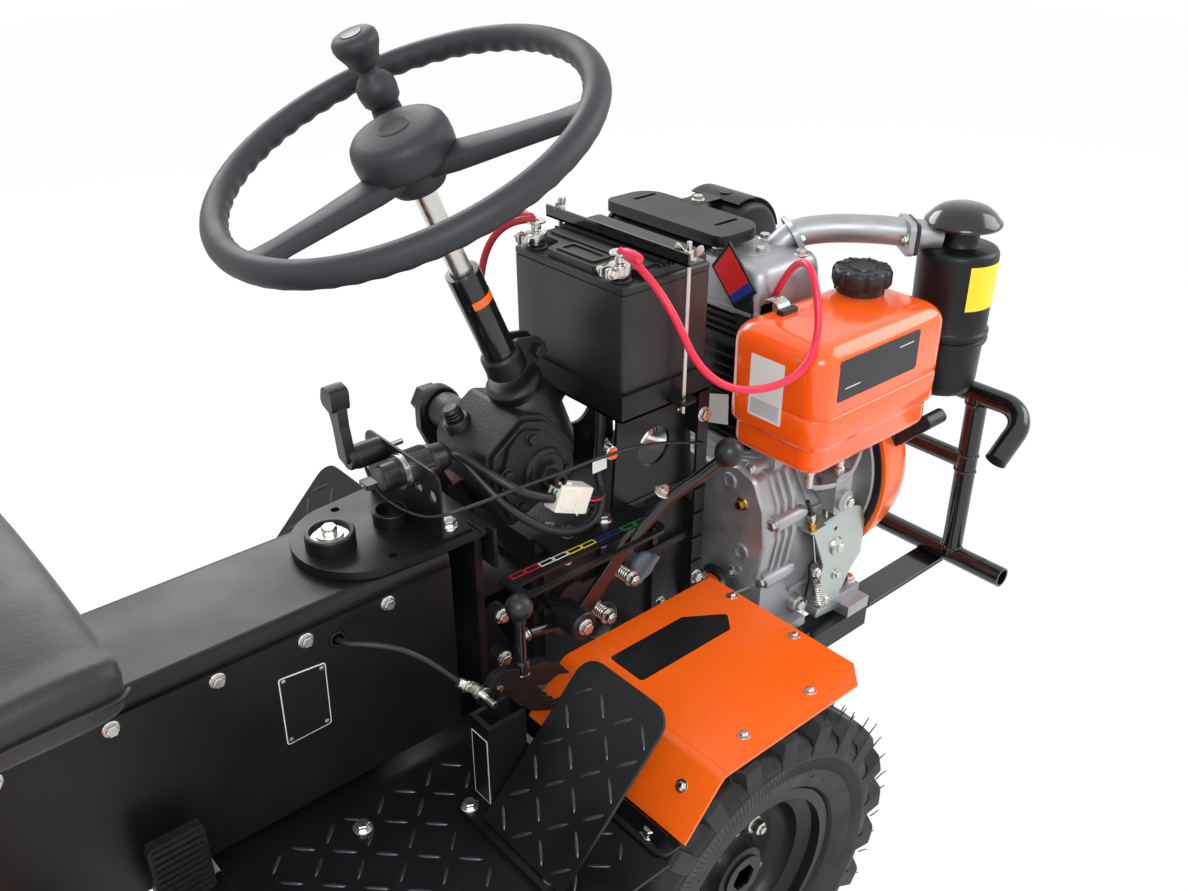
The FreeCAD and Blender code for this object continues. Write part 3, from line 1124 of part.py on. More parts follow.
# ---------------------------------------------------------------- seat unit
rx = rear_axle_x
pan_low = s.seat_height - s.cushion_thick - 8
parts = [plate("YZ", [(-58, s.tunnel_top + SEAT), (-40, pan_low), (40, pan_low), (58, s.tunnel_top + SEAT)],
               rx - 50, 150),
         block((rx - 90, rx + 150), (-150, 150), (pan_low, pan_low + 8 - SEAT))]
node("seat_post", join(*parts))
half = s.seat_width / 2
seat_back_x = rx - 120
cushion_low = s.seat_height - s.cushion_thick
profile = plate("XZ", [
    (seat_back_x - 6, cushion_low), (seat_back_x + s.seat_depth, cushion_low),
    (seat_back_x + s.seat_depth, s.seat_height - 8), (seat_back_x + 60, s.seat_height - 22),
    (seat_back_x, s.seat_height + 60), (seat_back_x - 46, s.seat_height + s.backrest_height),
    (seat_back_x - 46 - s.backrest_thick + 20, s.seat_height + s.backrest_height),
    (seat_back_x - s.backrest_thick, s.seat_height - 10),
], -half, s.seat_width, rounding=12)
node("seat", profile)
hx = rx - s.hitch_reach
ear_low = s.hitch_height - s.hitch_jaw / 2
parts = [block((rx - 190, rx - 60 - SEAT), (-36, 36),
               (ear_low - s.hitch_ear, ear_low + s.hitch_jaw + s.hitch_ear)),
         plate("XY", [(hx, -16), (hx + 20, -32), (rx - 180, -32), (rx - 180, 32), (hx + 20, 32), (hx, 16)],
               ear_low - s.hitch_ear, s.hitch_ear),
         plate("XY", [(hx, -16), (hx + 20, -32), (rx - 180, -32), (rx - 180, 32), (hx + 20, 32), (hx, 16)],
               ear_low + s.hitch_jaw, s.hitch_ear)]
node("rear_hitch", cut(join(*parts), rod(s.hitch_hole, (hx + 32, 0, ear_low - 50), 200)))

# ---------------------------------------------------------------- check and write
doc.recompute()
for thing in doc.Objects:
    if "Invalid" in thing.State or "Error" in thing.State:
        raise RuntimeError(f"{thing.Name} ({thing.Label}) failed: {thing.State}")
os.makedirs("parts", exist_ok=True)
for thing in NODES:
    if thing.Shape.isNull() or not thing.Shape.isValid():
        raise RuntimeError(f"{thing.Label} has no valid shape")
    thing.Shape.exportStep(f"parts/{thing.Label}.step")
box_all = Part.makeCompound([thing.Shape for thing in NODES]).BoundBox
print(f"{len(NODES)} nodes, box {box_all}")
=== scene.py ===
"""Dresses the compact tractor: the detailed pieces sit on the frame's own bodies.

Lengths are millimetres until a piece is finished.  Places are given the way the part's source
gives them: so far ahead of the front axle, so far to the left, so far above the ground.
"""
import random
from math import copysign, cos, exp, pi, radians, sin, sqrt, tan

import bmesh
import bpy
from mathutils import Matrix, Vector
from mathutils.geometry import tessellate_polygon


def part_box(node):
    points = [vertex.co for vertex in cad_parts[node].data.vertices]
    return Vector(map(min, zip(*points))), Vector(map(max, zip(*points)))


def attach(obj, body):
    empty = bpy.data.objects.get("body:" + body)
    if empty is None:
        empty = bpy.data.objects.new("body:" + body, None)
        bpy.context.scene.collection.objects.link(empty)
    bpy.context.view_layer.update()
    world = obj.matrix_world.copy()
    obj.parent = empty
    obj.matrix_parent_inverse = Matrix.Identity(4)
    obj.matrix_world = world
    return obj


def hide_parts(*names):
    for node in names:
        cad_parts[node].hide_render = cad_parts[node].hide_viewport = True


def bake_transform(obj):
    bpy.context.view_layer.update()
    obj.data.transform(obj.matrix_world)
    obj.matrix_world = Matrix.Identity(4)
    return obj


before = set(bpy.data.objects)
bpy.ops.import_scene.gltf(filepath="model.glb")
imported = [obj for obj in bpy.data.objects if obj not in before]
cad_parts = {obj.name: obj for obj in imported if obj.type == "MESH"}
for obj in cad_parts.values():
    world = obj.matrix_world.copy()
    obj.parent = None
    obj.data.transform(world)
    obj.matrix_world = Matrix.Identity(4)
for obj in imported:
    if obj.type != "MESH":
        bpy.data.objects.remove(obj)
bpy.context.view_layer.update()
MM = 0.001


def node_box(node):
    """Low and high corner of a frame node, in millimetres."""
    low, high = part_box(node)
    return Vector(low) / MM, Vector(high) / MM


def node_ahead(node):
    """How far forward a frame node's middle lies, in millimetres."""
    low, high = node_box(node)
    return (low.x + high.x) / 2


X, Y, Z = Vector((1, 0, 0)), Vector((0, 1, 0)), Vector((0, 0, 1))
FRONT_AXLE = node_ahead("tyre_front_right")
REAR_AXLE = node_ahead("tyre_rear_right")


def at(ahead, left, up):
    """A place measured ahead of the front axle, to the left and above the ground."""
    return Vector((FRONT_AXLE + ahead, left, up))


def ray(turn, u=X, v=Z):
    """The unit way at a turn from u towards v; forward towards up unless told otherwise."""
    return u * cos(turn) + v * sin(turn)


# ---------------- camera, floor and light
def set_camera():
    """Looks down and forward over the right rear corner."""
    lens = bpy.data.cameras.new("camera")
    camera = bpy.data.objects.new("camera", lens)
    bpy.context.collection.objects.link(camera)
    lens.sensor_width = 36.0
    lens.lens = 34.95
    lens.clip_end = 50.0
    camera.location = at(-788, -960, 1380) * MM
    heading, pitch = 49.126, 28.523
    camera.rotation_euler = (radians(90 - pitch), 0, radians(heading - 90))
    bpy.context.scene.camera = camera


def soft_lamp(name, place, aim, size, power):
    """A rectangular soft box in metres and watts, turned towards its aim."""
    data = bpy.data.lights.new(name, "AREA")
    data.shape = "RECTANGLE"
    data.size, data.size_y = size
    data.energy = power
    lamp = bpy.data.objects.new(name, data)
    bpy.context.collection.objects.link(lamp)
    lamp.location = Vector(place)
    lamp.rotation_euler = (Vector(aim) - Vector(place)).to_track_quat("-Z", "Y").to_euler()


set_camera()
bpy.context.scene.view_settings.view_transform = "Standard"


# ---------------- materials
def shade(hex_colour):
    """Turns an sRGB hex colour to the linear values that a shader takes."""
    parts = [int(hex_colour[i:i + 2], 16) / 255 for i in (1, 3, 5)]
    return [v / 12.92 if v <= 0.04045 else ((v + 0.055) / 1.055) ** 2.4 for v in parts] + [1.0]


def add(tree, kind, settings=(), links=()):
    """Adds a node, sets its values or sockets, and links its inputs."""
    made = tree.nodes.new("ShaderNode" + kind)
    for key, value in dict(settings).items():
        if hasattr(made, str(key)) and not isinstance(key, int):
            setattr(made, key, value)
        else:
            made.inputs[key].default_value = value
    for key, source in dict(links).items():
        tree.links.new(source, made.inputs[key])
    return made


def blank(name):
    """A material with an empty node tree."""
    material = bpy.data.materials.new(name)
    material.use_nodes = True
    material.node_tree.nodes.clear()
    return material, material.node_tree


def surface(name, colour, patch, rough, grain, relief, metallic=0.0, patch_size=60.0,
            coat=0.0, sheen=0.0, pits=None, gloss=0.5):
    """A finish with uneven colour and polish, and a grain of a real size in millimetres.

    colour and patch are the two colours it drifts between over patch_size; rough is the lowest
    and highest roughness; grain and relief are the width and height of its grain; pits is the
    spacing of a second, leathery pattern; gloss below 0.5 is a surface that dust has dulled.
    """
    material, tree = blank(name)
    where = add(tree, "TexCoord").outputs["Object"]
    drift = add(tree, "TexNoise", {"Scale": 1000 / patch_size, "Detail": 4.0}, {"Vector": where})
    tint = add(tree, "Mix", {"data_type": "RGBA", 6: shade(colour), 7: shade(patch)},
               {0: drift.outputs["Fac"]})
    polish = add(tree, "MapRange",
                 {"From Min": 0.3, "From Max": 0.7, "To Min": rough[0], "To Max": rough[1]},
                 {"Value": drift.outputs["Fac"]})
    fine = add(tree, "TexNoise", {"Scale": 1000 / grain, "Detail": 3.0, "Roughness": 0.55},
               {"Vector": where})
    height = fine.outputs["Fac"]
    if pits:
        spots = add(tree, "TexVoronoi", {"feature": "SMOOTH_F1", "Scale": 1000 / pits, "Smoothness": 0.6},
                    {"Vector": where})
        height = add(tree, "Math", {"operation": "MULTIPLY"},
                     {0: height, 1: spots.outputs["Distance"]}).outputs[0]
    bump = add(tree, "Bump", {"Strength": 1.0, "Distance": relief * MM}, {"Height": height})
    base = add(tree, "BsdfPrincipled",
               {"Metallic": metallic, "Coat Weight": coat, "Sheen Weight": sheen,
                "Coat Roughness": 0.08, "Specular IOR Level": gloss},
               {"Base Color": tint.outputs[2], "Roughness": polish.outputs[0], "Normal": bump.outputs[0]})
    add(tree, "OutputMaterial", links={"Surface": base.outputs[0]})
    return material


def film(name, colour, patch, rough=(0.28, 0.36)):
    """Vinyl film, printed in one colour and left blank: flat, even and softly glossy."""
    return surface(name, colour, patch, rough, 20.0, 0.01)


def sheath(name, colour, patch, rough):
    """Extruded soft PVC: smooth, a little waxy, with a slow waviness along it."""
    return surface(name, colour, patch, rough, 3.0, 0.03, patch_size=30)


# powder coat: baked polyester, a faint orange-peel skin with a soft gloss
BLACK_POWDER = surface(
    "black_powder_coat", "#0F1012", "#15171A", (0.30, 0.42), 2.2, 0.03, patch_size=90, gloss=0.32)
# brushed-on enamel over tube: wet-looking, nearly smooth
BLACK_ENAMEL = surface(
    "black_enamel", "#0C0D0F", "#131416", (0.12, 0.22), 6.0, 0.03, patch_size=120, coat=0.4)
# painted sand casting: pebbled skin under a satin black
BLACK_CASTING = surface(
    "painted_sand_casting", "#101113", "#191A1D", (0.30, 0.48), 2.6, 0.5, patch_size=35, gloss=0.4)
# gloss polyester powder coat on folded sheet: bright, with a clear highlight
ORANGE_COAT = surface(
    "orange_powder_coat", "#F4600F", "#FA6A18", (0.24, 0.32), 3.0, 0.012, patch_size=140, coat=0.25)
# stove enamel on a drawn steel tank: deeper gloss
ORANGE_ENAMEL = surface(
    "orange_stove_enamel", "#F9560F", "#FF6419", (0.14, 0.2), 9.0, 0.02, patch_size=120, coat=0.6)
# pressure die casting: dull grey skin, slightly dappled
DIE_CAST = surface(
    "die_cast_aluminium", "#9C9EA1", "#B5B7BA", (0.36, 0.52), 1.6, 0.10, metallic=0.75, patch_size=22)
# zinc plate on bolts and springs: bright with a milky cast
ZINC = surface(
    "zinc_plated_steel", "#C6C5BF", "#E0DFDA", (0.2, 0.36), 2.0, 0.02, metallic=1.0, patch_size=9)
# yellow chromate over zinc: brassy and uneven
YELLOW_ZINC = surface(
    "yellow_chromate", "#B28C43", "#C9A25A", (0.25, 0.38), 2.0, 0.02, metallic=1.0, patch_size=7)
# passivated zinc sheet: greenish grey cloudiness
ZINC_SHEET = surface(
    "passivated_zinc_sheet", "#AEB6B3", "#C9CFCB", (0.26, 0.4), 3.0, 0.015, metallic=0.85, patch_size=28)
# moulded polypropylene of the battery case: fine spark-eroded grain
BATTERY_CASE = surface(
    "grained_polypropylene", "#18191B", "#1F2022", (0.36, 0.46), 1.1, 0.05, patch_size=70)
# self-skinned polyurethane foam of the steering wheel: leathery fine grain
WHEEL_FOAM = surface(
    "polyurethane_grip", "#222428", "#2A2C31", (0.46, 0.58), 1.5, 0.16, patch_size=50)
# moulded nylon and ABS small parts: satin, hardly any grain
BLACK_PLASTIC = surface(
    "moulded_nylon", "#131416", "#1B1C1F", (0.3, 0.42), 1.4, 0.04, patch_size=30)
# vulcanised rubber: chalky in places
TYRE_RUBBER = surface(
    "tyre_rubber", "#121213", "#1B1B1C", (0.42, 0.6), 2.4, 0.12, patch_size=40, gloss=0.4)
# soft PVC sheaths of the battery cables
RED_PVC = sheath("red_pvc_sheath", "#D5163C", "#E22A4E", (0.3, 0.38))
DARK_RED_PVC = sheath("dark_red_pvc_sheath", "#9C0C22", "#B0132B", (0.32, 0.4))
# taped loom and cable sheaths: duller, with a finer grain
BLACK_PVC = surface("black_pvc_sheath", "#151618", "#1D1E20", (0.34, 0.46), 2.0, 0.05, patch_size=25)
# vinyl films of plates and stickers
WHITE_FILM = film("white_vinyl_film", "#DEDEDB", "#E8E8E5", (0.3, 0.38))
YELLOW_FILM = film("yellow_vinyl_film", "#EFD01C", "#F5DA2C", (0.3, 0.38))
BLACK_FILM = film("black_vinyl_film", "#16171A", "#1B1C1F", (0.26, 0.34))
RED_FILM = film("red_vinyl_film", "#C4181C", "#CF2326")
BLUE_FILM = film("blue_vinyl_film", "#1C2C7C", "#243689")
GREEN_FILM = film("green_vinyl_film", "#1F8F4A", "#27994F")
GREY_FILM = film("pale_grey_vinyl_film", "#B9BABC", "#C6C7C8")
# nylon of the linkage's plug: bluish grey, satin
GREY_NYLON = surface("grey_nylon", "#555E68", "#626B75", (0.38, 0.46), 3.0, 0.03, patch_size=20)
# unpigmented nylon of the loom's connector: milky and warm
WHITE_NYLON = surface("natural_nylon", "#E4E1D2", "#ECEADF", (0.38, 0.46), 4.0, 0.02, patch_size=15)
# thin wire sheaths: smooth and waxy
YELLOW_WIRE = surface("yellow_wire_sheath", "#D9B21B", "#E2BE2E", (0.35, 0.4), 3.0, 0.02)
GREEN_WIRE = surface("green_wire_sheath", "#1E7A50", "#28875C", (0.35, 0.4), 3.0, 0.02)
# calendered vinyl of the seat: leather-like grain
SEAT_VINYL = surface(
    "grained_vinyl", "#17181A", "#202124", (0.42, 0.54), 2.6, 0.22, patch_size=60, sheen=0.1, pits=3.4)
# black paint over the floor plate's rolled steel: cloudy with scale and dust
FLOOR_STEEL = surface(
    "painted_chequer_plate", "#0C0D0F", "#141518", (0.26, 0.42), 3.0, 0.05, patch_size=55, gloss=0.3)
# lighter grey on the raised bars: a painted highlight that stands in for their glints
BAR_HIGHLIGHT_STEEL = surface(
    "bar_steel_painted_highlight", "#25272B", "#54575C", (0.18, 0.32), 3.0, 0.05, metallic=0.6, patch_size=30)


def plain_view(tree):
    """One where the camera, a mirror or glass looks straight at the white surroundings."""
    ray = add(tree, "LightPath")
    mirror = add(tree, "Math", {"operation": "MAXIMUM"},
                 {0: ray.outputs["Is Glossy Ray"], 1: ray.outputs["Is Transmission Ray"]})
    return add(tree, "Math", {"operation": "MAXIMUM"},
               {0: ray.outputs["Is Camera Ray"], 1: mirror.outputs[0]}).outputs[0]


def backdrop(name, colour):
    """White paper that keeps a soft shadow; the camera sees most of it as plain white."""
    material, tree = blank(name)
    paper = add(tree, "BsdfDiffuse", {"Color": shade(colour)})
    white = add(tree, "Emission", {"Color": (1, 1, 1, 1), "Strength": 1.0})
    share = add(tree, "Math", {"operation": "MULTIPLY", 1: 0.86}, {0: plain_view(tree)})
    mixed = add(tree, "MixShader", links={0: share.outputs[0], 1: paper.outputs[0], 2: white.outputs[0]})
    add(tree, "OutputMaterial", links={"Surface": mixed.outputs[0]})
    return material


def set_world(level):
    """Even sky light; the camera, mirrors and glass see plain white."""
    world = bpy.data.worlds.new("studio")
    bpy.context.scene.world = world
    world.use_nodes = True
    tree = world.node_tree
    tree.nodes.clear()
    strength = add(tree, "MapRange", {"To Min": level, "To Max": 1.0}, {"Value": plain_view(tree)})
    sky = add(tree, "Background", {"Color": (1, 1, 1, 1)}, {"Strength": strength.outputs[0]})
    add(tree, "OutputWorld", links={"Surface": sky.outputs[0]})


def lay_floor():
    """A wide sheet of paper, half a millimetre under the tyres."""
    data = bpy.data.meshes.new("floor")
    half = 9.0
    corners = [(-half, -half, 0), (half, -half, 0), (half, half, 0), (-half, half, 0)]
    data.from_pydata(corners, [], [(0, 1, 2, 3)])
    floor = bpy.data.objects.new("floor", data)
    bpy.context.collection.objects.link(floor)
    floor.location.z = -0.0005
    data.materials.append(backdrop("floor_paper", "#FFFFFF"))


set_world(0.9)
lay_floor()
soft_lamp("key", (-1.6, -2.4, 3.0), (0.2, 0, 0.6), (1.8, 1.2), 55)
soft_lamp("fill", (2.6, -1.2, 2.2), (0.4, 0, 0.6), (1.6, 1.6), 28)
soft_lamp("back", (0.8, 2.6, 2.4), (0.2, 0, 0.6), (2.0, 1.0), 35)


# ---------------- shaping
def basis(normal):
    """Two unit vectors across a normal."""
    normal = Vector(normal).normalized()
    side = Vector((0, 0, 1)) if abs(normal.z) < 0.9 else Vector((1, 0, 0))
    across = side.cross(normal).normalized()
    return across, normal.cross(across)


def rounded_box(half_u, half_v, radius, steps=6):
    """Corner-rounded rectangle about the origin, as (u, v) pairs."""
    points = []
    for i, (cu, cv) in enumerate(((1, 1), (-1, 1), (-1, -1), (1, -1))):
        for k in range(steps + 1):
            turn = radians(90 * i + 90 * k / steps)
            points.append((cu * (half_u - radius) + radius * cos(turn),
                           cv * (half_v - radius) + radius * sin(turn)))
    return points


def rounded(points, radii, steps=5):
    """Outline with each corner rounded by its own radius."""
    made = []
    count = len(points)
    for i, (u, v) in enumerate(points):
        radius = radii[i] if isinstance(radii, (list, tuple)) else radii
        here = Vector((u, v))
        before = (Vector(points[i - 1]) - here).normalized()
        after = (Vector(points[(i + 1) % count]) - here).normalized()
        if radius <= 0:
            made.append((u, v))
            continue
        half = before.angle(after) / 2
        reach = radius / tan(half)
        centre = here + (before + after).normalized() * (radius / sin(half))
        start, end = here + before * reach - centre, here + after * reach - centre
        swing = start.angle_signed(end)
        for k in range(steps + 1):
            turn = -swing * k / steps
            made.append((centre.x + start.x * cos(turn) - start.y * sin(turn),
                         centre.y + start.x * sin(turn) + start.y * cos(turn)))
    return made


def rectangle(u0, v0, u1, v1, radii):
    """A rectangle between two corners, rounded by one radius or by four."""
    return rounded([(u0, v0), (u1, v0), (u1, v1), (u0, v1)], radii)


def circle(radius, steps=20, u=0.0, v=0.0):
    """Points of a circle about (u, v)."""
    turns = [2 * pi * k / steps for k in range(steps)]
    return [(u + radius * cos(turn), v + radius * sin(turn)) for turn in turns]


def wound(outline):
    """The outline, turned about if it runs clockwise."""
    area = sum(a[0] * b[1] - b[0] * a[1] for a, b in zip(outline, outline[1:] + outline[:1]))
    return outline if area > 0 else outline[::-1]


def through(points, steps=6):
    """A smooth run through given points of a rod or lever."""
    pts = [Vector(p) for p in points]
    pts = [2 * pts[0] - pts[1]] + pts + [2 * pts[-1] - pts[-2]]
    run = []
    for i in range(1, len(pts) - 2):
        a, b, c, d = pts[i - 1:i + 3]
        for k in range(steps):
            t = k / steps
            run.append(0.5 * (2 * b + (c - a) * t + (2 * a - 5 * b + 4 * c - d) * t * t
                              + (3 * b - a - 3 * c + d) * t ** 3))
    return run + [pts[-2]]


class Piece:
    """Gathers the surfaces of one piece, then hands it to the frame."""

    def __init__(self, name, *looks):
        self.name = name
        self.looks = looks
        self.mesh = bmesh.new()

    def skin(self, points, faces, look=0):
        """Adds points and the faces between them; a face that is there already is left out."""
        made = [self.mesh.verts.new(p) for p in points]
        for face in faces:
            try:
                self.mesh.faces.new([made[i] for i in face]).material_index = look
            except ValueError:
                pass

    def loft(self, rings, look=0, caps=(True, True), looped=False):
        """Joins rings of points; a ring of one point is a tip."""
        points, starts, faces = [], [], []
        for ring in rings:
            starts.append(len(points))
            points.extend(ring)
        pairs = list(zip(range(len(rings)), range(1, len(rings))))
        if looped:
            pairs.append((len(rings) - 1, 0))
        for a, b in pairs:
            na, nb = len(rings[a]), len(rings[b])
            count = max(na, nb)
            for k in range(count):
                n = (k + 1) % count
                face = [starts[a] + k % na, starts[a] + n % na, starts[b] + n % nb, starts[b] + k % nb]
                faces.append(list(dict.fromkeys(face)))
        if not looped:
            for ring, cap, flip in ((0, caps[0], True), (len(rings) - 1, caps[1], False)):
                if cap and len(rings[ring]) > 2:
                    face = [starts[ring] + k for k in range(len(rings[ring]))]
                    faces.append(face[::-1] if flip else face)
        self.skin(points, [f for f in faces if len(f) > 2], look)

    def turned(self, outline, centre, axis, look=0, steps=36, closed=False, wave=None):
        """Turns (radius, along) points about an axis; its ends are shut, or joined if closed."""
        if not closed:
            tips = [[(0, along)] if radius else [] for radius, along in (outline[0], outline[-1])]
            outline = [*tips[0], *outline, *tips[1]]
        centre, axis = Vector(centre), Vector(axis).normalized()
        u, v = basis(axis)
        rings = []
        for radius, along in outline:
            if radius < 0.01:
                rings.append([centre + axis * along])
                continue
            ring = []
            for k in range(steps):
                turn = 2 * pi * k / steps
                grown = radius + (wave(turn, radius, along) if wave else 0)
                ring.append(centre + axis * along + (u * cos(turn) + v * sin(turn)) * grown)
            rings.append(ring)
        self.loft(rings, look, caps=(not closed, not closed), looped=closed)

    def slab(self, outline, origin, u, v, depth, look=0, holes=()):
        """A flat plate: (a, b) points along u and v, thickened along u x v by depth."""
        origin, u, v = Vector(origin), Vector(u).normalized(), Vector(v).normalized()
        away = u.cross(v) * depth
        loops = [list(outline)] + [list(h) for h in holes]
        flat = [[Vector((a, b, 0)) for a, b in loop] for loop in loops]
        spots = [origin + u * a + v * b for loop in loops for a, b in loop]
        total = len(spots)
        if holes:
            tops = [list(t) for t in tessellate_polygon(flat)]
        else:
            tops = [list(range(len(outline)))]
        faces = [t[::-1] for t in tops] + [[i + total for i in t] for t in tops]
        start = 0
        for loop in loops:
            count = len(loop)
            for k in range(count):
                a, b = start + k, start + (k + 1) % count
                faces.append([a, b, b + total, a + total])
            start += count
        self.skin(spots + [s + away for s in spots], faces, look)

    def upright(self, outline, left, depth, look=0, holes=()):
        """A plate along the tractor, from (ahead, up) points; it thickens to the right."""
        self.slab(outline, at(0, left, 0), X, Z, depth, look, holes)

    def crosswise(self, outline, ahead, depth, look=0, holes=()):
        """A plate across the tractor, from (left, up) points; it thickens forward."""
        self.slab(outline, at(ahead, 0, 0), Y, Z, depth, look, holes)

    def laid(self, outline, up, depth, look=0, holes=(), hand=1):
        """A level plate from (ahead, left) points; it thickens upward and hand mirrors it."""
        self.slab(wound([(a, hand * b) for a, b in outline]), at(0, 0, up), X, Y, depth, look, holes)

    def disc(self, radius, height, seat, way, look=0, steps=36, top=None, start=0.0):
        """A round boss, washer or pin from start to height; top is its far end's radius."""
        self.turned([(radius, start), (top or radius, height)], seat, way, look, steps)

    def block(self, low, high, look=0):
        """A plain box between two corners."""
        low, high = Vector(low), Vector(high)
        x, y, z = (abs(high[i] - low[i]) for i in range(3))
        corner = Vector([min(low[i], high[i]) for i in range(3)])
        self.slab([(0, 0), (x, 0), (x, y), (0, y)], corner, X, Y, z, look)

    def tube(self, run, radius, look=0, sides=12, caps=True, closed=False):
        """Sweeps a round section; radius may be one value or one for each point."""
        run = [Vector(p) for p in run]
        count = len(run)
        rings = []
        normal = None
        for i, p in enumerate(run):
            if closed:
                ahead = run[(i + 1) % count] - run[i - 1]
            else:
                ahead = run[min(i + 1, count - 1)] - run[max(i - 1, 0)]
            ahead.normalize()
            if normal is None:
                normal = basis(ahead)[0]
            normal = (normal - ahead * normal.dot(ahead)).normalized()
            other = ahead.cross(normal)
            r = radius[i] if isinstance(radius, (list, tuple)) else radius
            rings.append([p + (normal * cos(2 * pi * k / sides)
                               + other * sin(2 * pi * k / sides)) * r for k in range(sides)])
        self.loft(rings, look, caps=(caps, caps), looped=closed)

    def ball(self, centre, radius, look=0, steps=20):
        """A round knob in twelve bands."""
        turns = [pi * k / 12 for k in range(1, 12)]
        arc = [(radius * sin(turn), -radius * cos(turn)) for turn in turns]
        self.turned([(0, -radius), *arc, (0, radius)], centre, Z, look, steps)

    def bolt(self, seat, way, across=10.0, height=None, look=0, flange=True, stud=0.0):
        """Hexagon head with its flange, standing on seat along way."""
        seat, way = Vector(seat), Vector(way).normalized()
        height = height or across * 0.55
        low = 0.0
        if flange:
            wide = across * 0.78
            low = 1.6
            self.turned([(wide, 0), (wide, 0.8), (wide - 1.2, low)], seat, way, look, 18)
        corner = across / sqrt(3)
        head = [(corner, low), (corner, height - 0.8), (corner * 0.86, height)]
        self.turned(head, seat, way, look, 6)
        if stud:
            self.disc(across * 0.3, height + stud, seat, way, look, 10, start=height)

    def done(self, replaces=(), body="front_unit", edge=0.0, crease=34, level=0):
        """Finishes the piece: metres, smooth shading, softened edges, body and slot."""
        bmesh.ops.recalc_face_normals(self.mesh, faces=self.mesh.faces)
        bmesh.ops.scale(self.mesh, vec=(MM, MM, MM), verts=self.mesh.verts)
        data = bpy.data.meshes.new(self.name)
        self.mesh.to_mesh(data)
        self.mesh.free()
        for look in self.looks:
            data.materials.append(look)
        data.shade_smooth()
        data.set_sharp_from_angle(angle=radians(crease))
        piece = bpy.data.objects.new(self.name, data)
        bpy.context.collection.objects.link(piece)
        if level:
            soft = piece.modifiers.new("rounding", "SUBSURF")
            soft.levels = soft.render_levels = level
        if edge:
            soft = piece.modifiers.new("softened_edges", "BEVEL")
            soft.width = edge * MM
            soft.segments = 2
            soft.limit_method = "ANGLE"
            soft.angle_limit = radians(crease)
            soft.harden_normals = True
        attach(piece, body)
        if replaces:
            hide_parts(*replaces)
        return piece


def cable(name, points, diameter, look, replaces=(), body="front_unit"):
    """A sheathed cable on one smooth spline."""
    data = bpy.data.curves.new(name, "CURVE")
    data.dimensions = "3D"
    data.bevel_depth = diameter / 2 * MM
    data.bevel_resolution = 4
    data.resolution_u = 16
    data.use_fill_caps = True
    line = data.splines.new("NURBS")
    line.points.add(len(points) - 1)
    for spot, place in zip(line.points, points):
        spot.co = (*(Vector(place) * MM), 1.0)
    line.order_u = 3
    line.use_endpoint_u = True
    data.materials.append(look)
    piece = bpy.data.objects.new(name, data)
    bpy.context.collection.objects.link(piece)
    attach(piece, body)
    if replaces:
        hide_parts(*replaces)
    return piece


def coat(node, look):
    """Gives a frame node its finish."""
    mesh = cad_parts[node].data
    mesh.materials.clear()
    mesh.materials.append(look)


# ---------------- steering wheel and column
RAKE = radians(23)
COLUMN_UP = Vector((-sin(RAKE), 0, cos(RAKE)))
COLUMN_OUT = Vector((cos(RAKE), 0, sin(RAKE)))
WHEEL_UP = 1105
WHEEL_CENTRE = at(-201, 0, WHEEL_UP)
SECTOR_SHAFT = at(-92, 0, 736)
TUBE_RADIUS = 19
GRIP_CIRCLE = 196.0
GRIP = 14.0
SPOKE_TURN = 5.0


def wheel_place(turn, reach, up):
    """A place on the steering wheel: turn in degrees from forward to the left."""
    way = COLUMN_OUT * cos(radians(turn)) + Y * sin(radians(turn))
    return WHEEL_CENTRE + way * reach + COLUMN_UP * up


def column_place(height):
    """A place on the raked column's centre line, by its height above the ground."""
    rise = (height - WHEEL_UP) / cos(RAKE)
    return WHEEL_CENTRE + COLUMN_UP * rise


